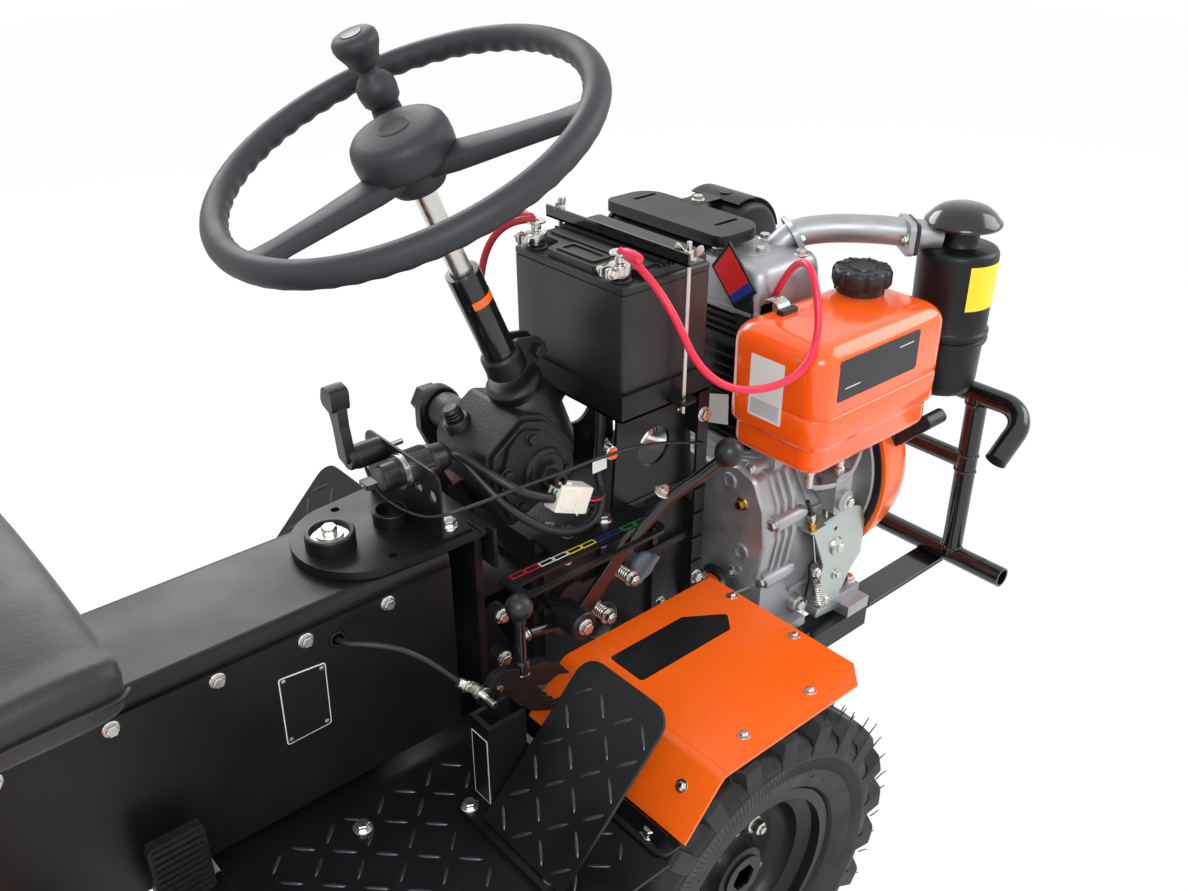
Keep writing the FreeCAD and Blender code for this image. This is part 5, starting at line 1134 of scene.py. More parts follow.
def fenders():
    """Four fenders, the brackets under the front ones, and one blank sticker."""
    front_bolts = ((130, 168), (127, 273), (63, 351), (-47, 351), (-132, 343))
    rear_bolts = ((120, 120), (120, 330), (-60, 340), (-60, 120))
    leaf = rectangle(-188, 286, -160, 372, [3, 0, 0, 14])
    for side, hand in (("right", -1), ("left", 1)):
        sheet_fender(f"fender_front_{side}", f"front_fender_{side}", FRONT_AXLE, 1, hand, front_bolts)
        sheet_fender(f"fender_rear_{side}", f"rear_fender_{side}", REAR_AXLE, -1, hand, rear_bolts)
        # bracket that holds the fender's rear slope down on the floor
        bracket = Piece(f"fender_bracket_{side}", BLACK_POWDER, ZINC)
        bracket.laid(leaf, 438.3, 3.4, hand=hand)
        bracket.bolt(at(-173, hand * 339, 441.7), Z, 14, look=1)
        bracket.done(edge=0.5)
    sticker = Piece("fender_blank_sticker", BLACK_FILM)
    outline = rounded([(-70, 158), (50, 158), (98, 190), (78, 214), (-70, 214)], 5)
    sticker.laid(outline, 509.95, 0.3, hand=-1)
    sticker.done()


# ---------------- tread plate, floor and treadles
FLOOR_TOP = 438.0


def chequer(piece, origin, u, v, span, keeps, look=0, pitch=31.0):
    """Lens-shaped bars of rolled tread plate; neighbours lie crosswise."""
    origin, u, v = Vector(origin), Vector(u), Vector(v)
    up = u.cross(v)
    for i in range(int(span[0] / pitch)):
        for k in range(int(span[1] / pitch)):
            a, b = (i + 0.5) * pitch, (k + 0.5) * pitch
            turn = radians(45 if (i + k) % 2 else -45)
            ca, sa = cos(turn), sin(turn)
            if not all(keeps(a + ca * s, b + sa * s) for s in (-14, 14)):
                continue
            rings = []
            for size, height in ((1.0, -0.1), (0.84, 0.8), (0.55, 1.3)):
                ring = []
                for n in range(14):
                    t = 2 * pi * n / 14
                    along, across = 13.5 * size * cos(t), 2.4 * size * sin(t)
                    ring.append(origin + u * (a + along * ca - across * sa)
                                + v * (b + along * sa + across * ca) + up * height)
                rings.append(ring)
            piece.loft(rings, look)


def weld(piece, a, b, radius=3.0, look=0):
    """A bead of weld: overlapping ripples along a line."""
    a, b = Vector(a), Vector(b)
    count = max(4, int((b - a).length / 1.5))
    run = [a.lerp(b, k / count) for k in range(count + 1)]
    piece.tube(run, [radius * (0.82 + 0.18 * cos(k * 2.1)) for k in range(count + 1)], look, sides=10)


def floor_dress():
    """Bars of the tread plate in a lighter grey that paints their highlights, and its tongues beside the
    tunnel.
    """
    coat("front_floor", FLOOR_STEEL)
    bars = Piece("floor_tread_bars", BAR_HIGHLIGHT_STEEL)

    def keeps(a, b):
        x, y = a - 535, b - 380
        if abs(y) < 90 or abs(y) > 374 or x > -172 or x < -529:
            return False
        if -316 < x < -276 and 164 < abs(y) < 342:
            return False
        if x > -196 and 280 < abs(y):
            return False
        return not (-290 < x < -228 and 170 < abs(y) < 220)
    chequer(bars, at(-535, -380, FLOOR_TOP), X, Y, (380, 772), keeps)
    bars.done(crease=60)
    for side, hand in (("right", -1), ("left", 1)):
        tongue = Piece(f"floor_tongue_{side}", FLOOR_STEEL, BAR_HIGHLIGHT_STEEL)
        inner, outer = sorted((hand * 86, hand * 236))
        tongue.block(at(-600, inner, FLOOR_TOP - 3), at(-535.3, outer, FLOOR_TOP))
        # the tongues' bars take the lighter grey of the painted highlight
        chequer(tongue, at(-600, inner, FLOOR_TOP), X, Y, (64, 150),
                lambda a, b: 8 < a < 60 and 8 < b < 142, 1)
        tongue.done(crease=60)


def treadle(name, node, side, inner):
    """Channel post and leaning tread plate on a strap; inner is the post's side next to the tunnel."""
    base = FLOOR_TOP + 0.3
    outer, tip = inner + 34, inner + 166
    back, front, wall = -283, -235, 5
    piece = Piece(name, FLOOR_STEEL, ZINC, WHITE_FILM, BAR_HIGHLIGHT_STEEL)
    piece.block(at(-306, side * (inner - 2), base), at(-282, side * (tip - 10), base + 7))
    # folded channel, open to the front
    web = back + wall + 1
    section = [(back, inner), (front, inner), (front, inner + wall), (web, inner + wall),
               (web, outer - wall), (front, outer - wall), (front, outer), (back, outer)]
    piece.laid(section, base, 561 - base, hand=side)
    # tread plate, leaning forward at 45 degrees
    lean = Vector((sqrt(0.5), 0, sqrt(0.5)))
    near, long = outer + 2, 206
    wide = tip - near
    foot = at(-294, near if side > 0 else -tip, base + 7)
    tread = rectangle(0, 0, long, wide, [0, 24, 24, 0])
    piece.slab(tread, foot, lean, Y, 5)

    def keeps(a, b):
        in_corner = a > long - 20 and min(b, wide - b) < 14
        return 4 < a < long - 4 and 4 < b < wide - 4 and not in_corner
    # bars in the lighter grey of a painted highlight that stands in for their glints
    chequer(piece, foot + lean.cross(Y) * 5, lean, Y, (long, wide), keeps, 3)
    gusset = [(-292, base + 7), (-191, base + 108), (-226, base + 20), (-276, base + 3)]
    piece.upright(rounded(gusset, 3), side * (outer + 50) + 3, 6)
    # bent lug and beads of weld where the plate meets post and strap
    piece.slab(rounded_box(12, 9, 4), at(-230, side * (tip - 18), base + 62), lean, Y, 4)
    weld(piece, at(-284, side * outer, base + 10), at(front, side * outer, base + 59), 2.6)
    weld(piece, at(-298, side * (inner + 8), base + 6), at(back, side * (inner + 8), base + 6), 2.6)
    weld(piece, at(-287, side * (outer + 8), base + 8), at(-287, side * (tip - 18), base + 8), 2.2)
    piece.bolt(at(-296, side * (inner + 9), base + 7), Z, 13, look=1)
    piece.disc(8, 1.4, at(-291, side * (tip - 24), base + 7), Z, 1, steps=20)
    # blank label on the post's narrow face: a pale frame round a dark field
    middle = side * (inner + 17)
    for half, low, high, radius, off, look in ((14, 456, 544, 1, 0.3, 2), (12.6, 457.4, 542.6, 0.6, 0.6, 0)):
        label = rectangle(-half, low, half, high, radius)
        piece.slab(label, (FRONT_AXLE + back - off, middle, 0), -Y, Z, 0.3, look)
    piece.done([node], edge=0.7)


def brake_latch():
    """Toothed sector and pawl beside the brake treadle, with its pull knob."""
    latch = Piece("brake_latch_pawl", BLACK_ENAMEL, BLACK_CASTING, ZINC, BLACK_PLASTIC)
    side = -165.0
    pawl = [(-250, 556), (-250, 572), (-242, 582), (-226, 583), (-200, 573), (-175, 568), (-156, 556),
            (-140, 533), (-158, 541), (-172, 536), (-188, 541), (-200, 549), (-218, 553)]
    latch.upright(rounded(pawl, [2, 5, 6, 8, 12, 14, 10, 1, 8, 6, 6, 6, 6], 4), side + 6, 12, 1)
    sector = [(-224, 556), (-200, 550), (-188, 540), (-178, 528), (-184, 523), (-171, 518), (-176, 512),
              (-163, 508), (-166, 501), (-150, 498), (-160, 489), (-190, 504), (-212, 526), (-226, 546)]
    latch.upright(sector, side + 3, 6, 1)
    latch.disc(4, 15.4, at(-238, side - 7.7, 565), Y, 2, steps=16)
    foot = at(-204, side, 0)
    rod = [(10, 563), (10, 566), (7, 569), (6, 574), (6, 640)]
    latch.turned(rod, foot, Z, steps=24)
    latch.turned([(9, 566), (9, 580), (8, 583)], foot, Z, steps=24)
    latch.ball(foot + Z * 652, 15, 3, steps=32)
    latch.turned([(0, 0), (7, 0), (7, 8), (0, 10)], foot + Z * 632, Z, 3, steps=24)
    latch.done(["brake_latch"], edge=0.8)


# ---------------- tunnel, pivot and chassis
PIVOT_AHEAD = -327
EAR_TOP = 701.5
AXLE_UP = 237


def tunnel_dress():
    """Bolts and welds of the tunnel; plate, cable hole and foot pad on its right side."""
    for node in ("tunnel", "tunnel_cover_left", "tunnel_cover_right"):
        coat(node, BLACK_POWDER)
    for hand, name in ((-1, "right"), (1, "left")):
        dress = Piece(f"tunnel_fastenings_{name}", BLACK_POWDER, ZINC, BLACK_FILM, BLACK_PLASTIC, WHITE_FILM)
        face = 80.3 * hand
        for ahead in (-499, -406, -311, -600, -700, -790):
            dress.bolt(at(ahead, face, 662), Y * hand, 11, look=1)
        if hand < 0:
            # blank type plate: pale edge round a dark field, four screws
            plate = rounded([(-442, 546), (-391, 547), (-389, 626), (-441, 631)], 3)
            dress.upright(plate, face - 0.1, 0.9, 4)
            field = rounded([(-441, 547), (-392, 548), (-390, 625), (-440, 630)], 2.4)
            dress.upright(field, face - 0.9, 0.3, 2)
            for x, z in ((-437, 551), (-396, 552), (-394, 621), (-436, 626)):
                dress.turned([(0, 0), (3, 0), (2.6, 1.2), (0, 1.6)], at(x, face - 1.1, z), -Y, 1, steps=12)
            # thin edge of the cable hole
            edge = [(6.6, 0), (9.4, 0), (9, 1), (6.6, 1)]
            dress.turned(edge, at(-372, face, 646), -Y, 3, steps=28, closed=True)
            # ribbed foot rest on its bracket
            dress.block(at(-602, -82, 486), at(-590, -108, 512))
            pad = rectangle(-606, 455, -550, 540, 6)
            dress.upright(pad, -106, 12, 3)
            for k in range(10):
                z = 460 + k * 8
                dress.block(at(-602, -117, z), at(-554, -121, z + 4), 3)
        weld(dress, at(-242, hand * 76.5, 470), at(-242, hand * 76.5, 640), 2.4)
        dress.done(body="seat_unit", edge=0.5)
    floor_bolts = Piece("floor_bolts", ZINC)
    for hand in (-1, 1):
        floor_bolts.bolt(at(-396, hand * 132, FLOOR_TOP + 0.2), Z, 14)
    floor_bolts.done(edge=0.4)


def pivot_dress():
    """Round-nosed ear plate over the hinge, the pin's head, and the fittings around them."""
    coat("pivot_foot", BLACK_POWDER)
    coat("steering_horn", BLACK_CASTING)
    coat("pivot_pin", ZINC)
    # ear plate with a round nose about the pin, its boss and the folded apron
    ear = Piece("pivot_ear_plate", BLACK_POWDER)
    nose = [(-294 - 72 * sin(pi * k / 16), 75 * cos(pi * k / 16)) for k in range(17)]
    outline = [(-180, 80), (-232, 80)] + nose + [(-232, -80), (-180, -80)]
    holes = [circle(20.6, 36, PIVOT_AHEAD, 0)[::-1]] + [circle(5, 16, -288, left)[::-1] for left in (60, -60)]
    ear.laid(outline, EAR_TOP - 10, 10, holes=holes)
    boss = [(20.6, 0), (27, 0), (27, 16), (25.6, 18), (22, 18), (20.6, 16.6)]
    ear.turned(boss, at(PIVOT_AHEAD, 0, EAR_TOP - 0.1), Z, steps=48, closed=True)
    ear.block(at(-180, -90, 651.5), at(-175, 90, EAR_TOP))
    ear.done(["pivot_bracket"], edge=0.9)

    top = Piece("pivot_pin_head", ZINC)
    head = at(PIVOT_AHEAD, 0, 714.5)
    top.disc(15, 2.6, head, Z, steps=28)
    top.bolt(head + Z * 2.6, Z, 15, height=8, flange=False)
    top.done(body="seat_unit", edge=0.5)

    fittings = Piece("pivot_bracket_dress", BLACK_POWDER, ZINC, WHITE_FILM, BLACK_PLASTIC)
    socket = at(-252, 0, EAR_TOP - 0.1)
    rim = [(15.5, 0), (20.5, 0), (20.5, 14), (19.8, 15), (16.2, 15), (15.5, 14)]
    fittings.turned(rim, socket, Z, steps=40, closed=True)
    fittings.disc(15.4, 1, socket, Z, 3, steps=30)
    fittings.slab(rounded_box(6, 3, 1), at(-249, -3, 702.6), X, Y, 0.6, 2)
    fittings.turned([(0, 0), (7, 0), (6, 3.4), (0, 4)], at(-216, -61, EAR_TOP), Z, 1, steps=18)
    weld(fittings, at(-190, -88, 702), at(-190, -58, 702), 2.6)
    for y in (-45, 45):
        fittings.bolt(at(-180, y, 640), X, 16, look=1)
    # ends of the cross bolts on the apron's edges, with their bushes
    for z in (540, 600):
        for hand in (-1, 1):
            fittings.disc(11, 16, at(-186, hand * 92, z), Y * hand, 3, steps=20)
            fittings.bolt(at(-186, hand * 108, z), Y * hand, 12, look=1)
    fittings.bolt(at(-155, -45, 640), Z, 13, look=1)
    # dark closing plate beside the gear's foot
    fittings.block(at(-162, 18, 645), at(-130, 22, 700))
    fittings.done(edge=0.5)


def flange_bolts(piece, ahead, side):
    """Six bolts that hold an axle's drive flange."""
    for k in range(6):
        a = 2 * pi * k / 6
        spot = at(ahead + cos(a) * 47, side * 240.5, AXLE_UP + sin(a) * 47)
        piece.bolt(spot, -Y * side, 12)


def chassis():
    """Finishes of frame, axles and gearbox, their bolts, and the battery stand's edges."""
    for node in ("front_frame", "floor_bearers", "battery_stand", "seat_post", "rear_hitch"):
        coat(node, BLACK_POWDER)
    for node in ("front_axle", "rear_axle", "gearbox"):
        coat(node, BLACK_CASTING)
    bolts = Piece("axle_and_case_bolts", ZINC, BLACK_CASTING)
    for side in (-1, 1):
        flange_bolts(bolts, 0, side)
        for x in (-104, -12, 90):
            bolts.bolt(at(x, side * 78, 470), Y * side, 12)
        bearing = [(24, 0), (26, 3), (26, 9), (20, 12)]
        bolts.turned(bearing, at(-20, side * 78, 500), Y * side, 1)
    for x in (-104, -60, -12, 40, 90, 136):
        bolts.bolt(at(x, 87, 600), Y, 12)
    for x, y in ((-73, -54), (-20, -54), (-73, 54), (-20, 54), (40, -54), (40, 54)):
        bolts.bolt(at(x, y, 640.2), Z, 13)
    bolts.done(edge=0.4)
    rear = Piece("rear_axle_bolts", ZINC)
    for side in (-1, 1):
        flange_bolts(rear, REAR_AXLE - FRONT_AXLE, side)
    rear.done(body="seat_unit", edge=0.4)
    stand = Piece("battery_stand_edges", BLACK_POWDER, ZINC)
    for z in (523, 560, 597, 634):
        stand.block(at(124, -96.2, z), at(145, -99, z + 3))
    for y, z in ((-96, 500), (-96, 740), (96, 500)):
        stand.bolt(at(137, y, z), Y * copysign(1, y), 13, look=1)
    for x in (30, 110):
        for y in (-60, 60):
            stand.bolt(at(x, y, 645), Z, 13, look=1)
    stand.done(edge=0.6)


# ---------------- controls
def controls():
    """Panel beside the column: ignition switch, throttle lever and a blank plate."""
    panel = Piece("control_panel", BLACK_POWDER, BLACK_PLASTIC, ZINC, WHITE_FILM)
    low, high = 701.8, 782.0
    outline = rectangle(-74, low, 74, high, [0, 0, 14, 14])
    holes = [circle(7, 24, -32, 752)[::-1], circle(7, 24, -59, 751)[::-1]]
    panel.crosswise(outline, -234, 3, holes=holes)
    panel.block(at(-231, -74, low), at(-196, 74, low + 3))
    panel.tube([at(-231.2, -74, low + 3), at(-231.2, 74, low + 3)], 1.6, sides=8)
    for y in (-54, 54):
        panel.bolt(at(-213, y, low + 3), Z, 14, look=2)
    # ignition switch: key, barrel and rings behind, ribbed nut and boot in front
    switch = at(-234, -5, 760)
    rings = [(20, 0), (20, 2.5), (18, 3.5), (18, 5), (20, 6), (20, 7.5), (16.5, 8)]
    panel.turned(rings, switch, -X, 2, steps=40)
    barrel = [(0, 8), (15.5, 8), (16, 10), (15, 27), (13, 29.5), (0, 30)]
    panel.turned(barrel, switch, -X, 1)
    panel.slab(rounded_box(9, 7, 2.5), switch - X * 44 + Z * 3, Y, X, 6, 1)
    eyelet = [(3.4, 0), (5.4, 0), (5.4, 2), (3.4, 2)]
    panel.turned(eyelet, switch - X * 46 - Z, Z, 2, steps=20, closed=True)

    def ribs(turn, radius, along):
        return 0.8 * cos(turn * 24) if radius > 19.5 and 1 < along < 26 else 0.0
    nut = [(0, 0), (21, 0.2), (21, 3), (20.2, 5), (20.2, 24), (19, 26), (0, 26)]
    panel.turned(nut, switch + X * 3, X, 1, steps=144, wave=ribs)
    boot = [(18.4, 26), (18.8, 30), (17, 34), (16.4, 44), (14, 50), (11, 53)]
    panel.turned(boot, switch + X * 3, X, 1)
    # throttle lever: hub with a cross-slot screw, moulded arm, thumb pad, stud through the panel
    hub = at(-234, 42, 768)
    panel.turned([(14, 0), (14, 30), (13, 34)], hub, -X, 1)
    panel.turned([(12.5, 34), (12.5, 40), (11, 42)], hub, -X, 1)
    panel.turned([(0, 41.6), (5, 41.6), (4.6, 43), (0, 43.6)], hub, -X, 2, steps=18)
    for turn in (0, pi / 2):
        way = ray(turn, Y, Z)
        panel.slab(rounded_box(3.4, 0.5, 0.3), hub - X * 43.9, way, way.cross(X), 0.5, 1)
    arm = [(32, 762), (53, 768), (58, 804), (69, 836), (62, 854), (44, 850), (42, 808)]
    panel.crosswise(rounded(arm, [6, 6, 14, 8, 7, 8, 14]), -280, 12, 1)
    pad = [(43, 822), (68, 832), (62, 854), (42, 850)]
    panel.crosswise(rounded(pad, [6, 8, 7, 7]), -286, 22, 1)
    panel.disc(4, 28, hub, X, 2, steps=14, start=3)
    panel.bolt(hub + X * 3, X, 13, height=8, look=2)
    panel.slab(rounded_box(20, 13, 2), at(-231, -46, 728), Y, Z, 0.5, 3)
    panel.done(["control_bracket"], edge=0.5)


def shift_gate():
    """Slotted plate with coloured cells, two of each colour, left empty."""
    colours = (RED_FILM, WHITE_FILM, YELLOW_FILM, BLUE_FILM, GREEN_FILM)
    gate = Piece("shift_gate_plate", BLACK_POWDER, *colours, BLACK_FILM, ZINC)
    dark, bright = 6, 7
    low = 640.3
    top = low + 4
    outline = [(-184, -148), (33, -148), (33, -78.6), (-8.3, -78.6), (-8.3, -58), (-105, -58), (-105, -101),
               (-184, -101)]
    slot = rectangle(-174, -141, 23, -123, 9)[::-1]
    gate.laid(rounded(outline, [14, 14, 3, 2, 2, 2, 8, 3]), low, 4, holes=[slot])
    pitch = 19.9
    for i in range(10):
        rear, front = i * pitch - 172, (i + 1) * pitch - 173
        middle = -108 - 0.8 * i
        for shrink, half, up, thick, look in (
                (0, 4, top, 0.25, 1 + i // 2), (1.2, 2.8, top + 0.2, 0.2, dark)):
            a, b = rear + shrink, front - shrink
            cell = [(a, middle - half), (b, middle - half), (b, middle + half), (a, middle + half)]
            gate.laid(cell, up, thick, look)
    for x, y in ((-67, -79), (-15, -84)):
        gate.bolt(at(x, y, top), Z, 14, look=bright)
    for x in (-97, -43):
        gate.bolt(at(x, -114, low), -Z, 11, look=bright)
    gate.done(["gear_gate"], edge=0.6)


def gear_lever():
    """Bent lever with its ball and boot, its bush on the case, and the link up to the gate."""
    lever = Piece("gear_lever_bar", BLACK_ENAMEL, BLACK_PLASTIC, ZINC, BLACK_CASTING)
    run = [at(-24, -134, 630), at(-11, -136, 644), at(6, -142, 664), at(28, -153, 690), at(54, -178, 722),
           at(69, -198, 748)]
    lever.tube(through(run, 8), 7, sides=18)
    lever.ball(at(71, -200, 753), 17, 1, steps=40)
    lever.turned([(0, 0), (9, 0), (9, 10), (0, 11)], at(66, -194, 738), (0.3, -0.45, 0.85), 1, steps=24)
    # bush on the case's cross shaft, and the flat link that rises from it through the slot
    bush = [(9, 0), (9, 20), (17, 20), (18, 22), (18, 60), (16, 62)]
    lever.turned(bush, at(-104, -92.3, 570), -Y, 3, steps=32)
    lever.bolt(at(-104, -154.3, 570), -Y, 13, look=2)
    link = rounded([(-120, 566), (-98, 554), (0, 650), (-14, 660)], [9, 9, 6, 6])
    lever.upright(link, -133, 5)
    lever.bolt(at(20, -146, 696), (0.2, -0.4, 0.9), 13, look=2, stud=4)
    lever.done(["gear_lever"], edge=0.5)


def shift_linkage():
    """Detents with their springs, a winged plug and the link rod, on the case under the gate."""
    work = Piece("shift_linkage", BLACK_ENAMEL, ZINC, GREY_NYLON, BLACK_PLASTIC)
    reach = 42
    for x, z in ((-44, 540), (-6, 577)):
        root = at(x, -86, z)
        work.turned([(13, 0), (13, 12), (9, 14)], root, -Y, steps=24)
        coil = [root - Y * (14 + (reach - 18) * k / 79) + ray(2 * pi * k / 12) * 7 for k in range(80)]
        work.tube(coil, 1.3, 1, sides=8)
        work.disc(4, reach + 8, root, -Y, 1, steps=14, start=8)
        work.disc(10, reach - 2, root, -Y, 1, steps=22, start=reach - 4)
        work.bolt(root - Y * (reach - 2), -Y, 13, height=8, look=1, flange=False)
    plug = at(24, -88, 576)
    body = [(9, 0), (9, 18), (16, 19), (18, 22), (18, 27), (16, 30)]
    work.turned(body, plug, -Y, 2)
    work.slab(rounded_box(20, 3.4, 2), plug - Y * 30, (0.8, 0, 0.6), (-0.6, 0, 0.8), 7, 2)
    work.tube([at(-158, -118, 568), at(-134, -118, 563), at(-112, -118, 558)], 7, sides=16)
    work.disc(13, 20, at(-108, -100, 556), -Y, 3, steps=28)
    work.bolt(at(-160, -118, 568), -X, 11, look=1)
    work.done(edge=0.4)


# ---------------- engine
ENGINE_MIDDLE = -24


def gear_cover():
    """Lobed cover on the engine's end: flat face, rounded edge and the seams of its three castings."""
    cover = Piece("engine_gear_cover", DIE_CAST, ZINC, YELLOW_ZINC, BLACK_PLASTIC, ORANGE_COAT)
    lobes = [(86, 570), (66, 626), (-20, 642), (-77, 640), (-110, 652), (-140, 643), (-158, 606),
             (-164, 556), (-156, 511), (-144, 478), (-112, 448), (-60, 430), (20, 426), (64, 448),
             (86, 500)]

    def ring(ahead, grow):
        grown = [(left + grow * copysign(1, left + 40), up + grow * copysign(1, up - 540))
                 for left, up in lobes]
        return [at(ahead, left, up) for left, up in rounded(grown, 14, 5)]
    steps = [(190, -7), (191, -3), (194, -0.8), (198, 0), (206, 0.4)]
    for seam, high in ((211, 3.2), (224, 4.2), (238, 5)):
        steps += [(seam, 0.6), (seam + 1.5, high), (seam + 7, high), (seam + 8.5, 0.8)]
    steps += [(256, 0), (262, -6)]
    cover.loft([ring(ahead, grow) for ahead, grow in steps])
    # plugged holes and the yellow level plug
    for left, up, r in ((-99, 627, 9), (-127, 530, 10), (20, 600, 10), (40, 490, 10)):
        hole = [(r - 3, 0), (r + 3, 0), (r + 2, 3.5), (r, 4), (r - 2.4, 3.6), (r - 3, 1)]
        cover.turned(hole, at(190.4, left, up), -X, steps=32, closed=True)
        cover.disc(4, 2, at(190.4, left, up), -X, steps=16)
    cover.disc(10, 1.6, at(190.2, -122, 602), -X, 2, steps=24, top=9)
    cover.bolt(at(189, -122, 602), -X, 12, look=2, flange=False)
    # long bolts in their bosses along the rim
    boss = [(10, 0), (11, 3), (11, 40), (9, 56)]
    for left, up in ((-165, 584), (-154, 490), (-122, 648), (-60, 428), (20, 424), (84, 470), (90, 560),
                     (60, 634)):
        cover.turned(boss, at(204, left, up), X, steps=24)
        cover.bolt(at(204, left, up), -X, 12, look=1)
    for left, up in ((-113, 492), (-83, 479)):
        cover.disc(9, 3, at(190.4, left, up), -X, steps=20)
        cover.bolt(at(188, left, up), -X, 10, look=1)
    # raised web across the face's foot
    cover.tube([at(190.6, -40, 452), at(190.6, -83, 470), at(190.6, -128, 505)], 3.2, sides=8)
    # black half-round cover, open at the top over orange paint
    shroud = at(171, -96, 462)
    cover.turned([(30, 0), (33, 3), (33, 12), (30, 14)], shroud, X, 3, steps=40)
    cover.disc(24, 0.4, shroud, X, 4, steps=40, start=-1)
    for left in (-113, -79):
        cover.bolt(at(170, left, 480), -X, 9, look=1)
    cover.done(crease=32)


def engine_castings():
    """Crankcase with its rear rim, ribs, cylinder feet and the feet that stand on the rails."""
    block = Piece("engine_castings", DIE_CAST, ZINC)
    half, middle, foot = 128, ENGINE_MIDDLE, 400.3
    case = [(middle - half, foot), (middle + half, foot), (middle + half, 572), (middle + 88, 632),
            (middle - 88, 632), (middle - half, 572)]
    block.crosswise(rounded(case, [8, 8, 14, 18, 18, 14]), 205, 190)
    rim = [(middle + (left - middle) * 1.02, foot + (up - foot) * 1.01) for left, up in case]
    block.crosswise(rounded(rim, [6, 6, 14, 18, 18, 14]), 380, 12)
    # casting ribs over the shoulder and along the flank
    rib = rounded([(-155, 540), (-155, 575), (-113, 637), (-100, 637), (-100, 620)], 3)
    for ahead in (266, 288, 316):
        block.crosswise(rib, ahead, 5)
    for up in (448, 566):
        block.upright([(262, up), (384, up - 6), (384, up), (262, up + 6)], middle - 126, 6)
    for ahead in (225, 343):
        block.block(at(ahead, middle - 118, 572), at(ahead + 26, -100, 684.7))
    # feet on the rails
    for right, left in ((-178, middle - 118), (middle + 118, 138)):
        for ahead, long in ((218, 56), (306, 88)):
            block.block(at(ahead, right, 400.4), at(ahead + long, left, 414))
    block.block(at(347, -120, 384.3), at(393, -197, 402))
    for ahead in (312, 384):
        block.disc(11, 6, at(ahead, -165, 412), Z, steps=20, top=10)
        block.bolt(at(ahead, -165, 418), Z, 13, look=1)
    block.disc(13, 10, at(276, -152, 424), -Y, steps=24, top=12)
    block.bolt(at(276, -162, 424), -Y, 14, look=1)
    block.done(["engine_block"], edge=1.4, crease=38)


def engine_head():
    """Finned cylinder and head, rocker cover, and a small two-coloured panel beside it."""
    head = Piece("engine_head", DIE_CAST, ZINC, BLACK_CASTING, WHITE_FILM)
    middle = at(303, ENGINE_MIDDLE, 0)
    head.disc(50, 784, middle, Z, 2, steps=48, start=632.3)
    fins = [(64 - 2 * (i % 2), 63, 14, 640 + i * 14, 3) for i in range(10)]
    fins += [(66, 66, 12, 784, 12), (64, 64, 10, 800, 4), (64, 64, 10, 810, 4), (64, 64, 10, 820, 4),
             (58, 58, 12, 796, 34)]
    for half_u, half_v, corner, up, thick in fins:
        head.slab(rounded_box(half_u, half_v, corner, 5), middle + Z * up, X, Y, thick, 2)
    # rocker cover: skirt, domed lid, machined spot and bolts
    lid = []
    for up, inset in ((829, 0), (858, 2), (872, 3), (884, 6), (890, 10), (893, 18)):
        outline = rounded_box(64 - inset, 62 - inset, 20 - inset * 0.4, 6)
        lid.append([middle + Vector((a, b, up)) for a, b in outline])
    head.loft(lid)
    head.slab(rounded_box(66, 64, 20, 6), middle + Z * 832, X, Y, 5)
    spot = middle + Vector((-6, 6, 892.4))
    head.turned([(24, 0), (24, 1.4), (22, 1.6)], spot, Z, steps=40)
    for a, b in ((-36, 40), (44, 30), (-2, -4), (30, -44)):
        head.bolt(middle + Vector((a, b, 892)), Z, 12, height=7, look=1)
    # blank label on the fins' edge
    head.crosswise([(-46, 716), (-48, 672), (-7, 661), (-5, 703)], 236.4, 0.6, 3)
    head.done(["cylinder_head"], edge=1.0, crease=36)

    # small blank panel in two colours on its dark bracket
    duct = Piece("air_duct_panel", BLACK_POWDER, RED_FILM, BLUE_FILM)
    corners = [Vector((-76, 869)), Vector((-45, 844)), Vector((-9, 882)), Vector((-33, 915))]
    middle = sum(corners, Vector((0, 0))) / 4
    strip = [corners[0], corners[1], corners[1].lerp(corners[2], 0.2), corners[0].lerp(corners[3], 0.2)]
    duct.crosswise([tuple(middle + (c - middle) * 1.16) for c in corners], 236, 3)
    duct.crosswise([tuple(c) for c in corners], 235.7, 0.5, 1)
    duct.crosswise([tuple(c) for c in strip], 235.3, 0.5, 2)
    duct.crosswise([(-80, 812), (-52, 812), (-40, 850), (-70, 872)], 238, 3)
    duct.done(edge=0.3)


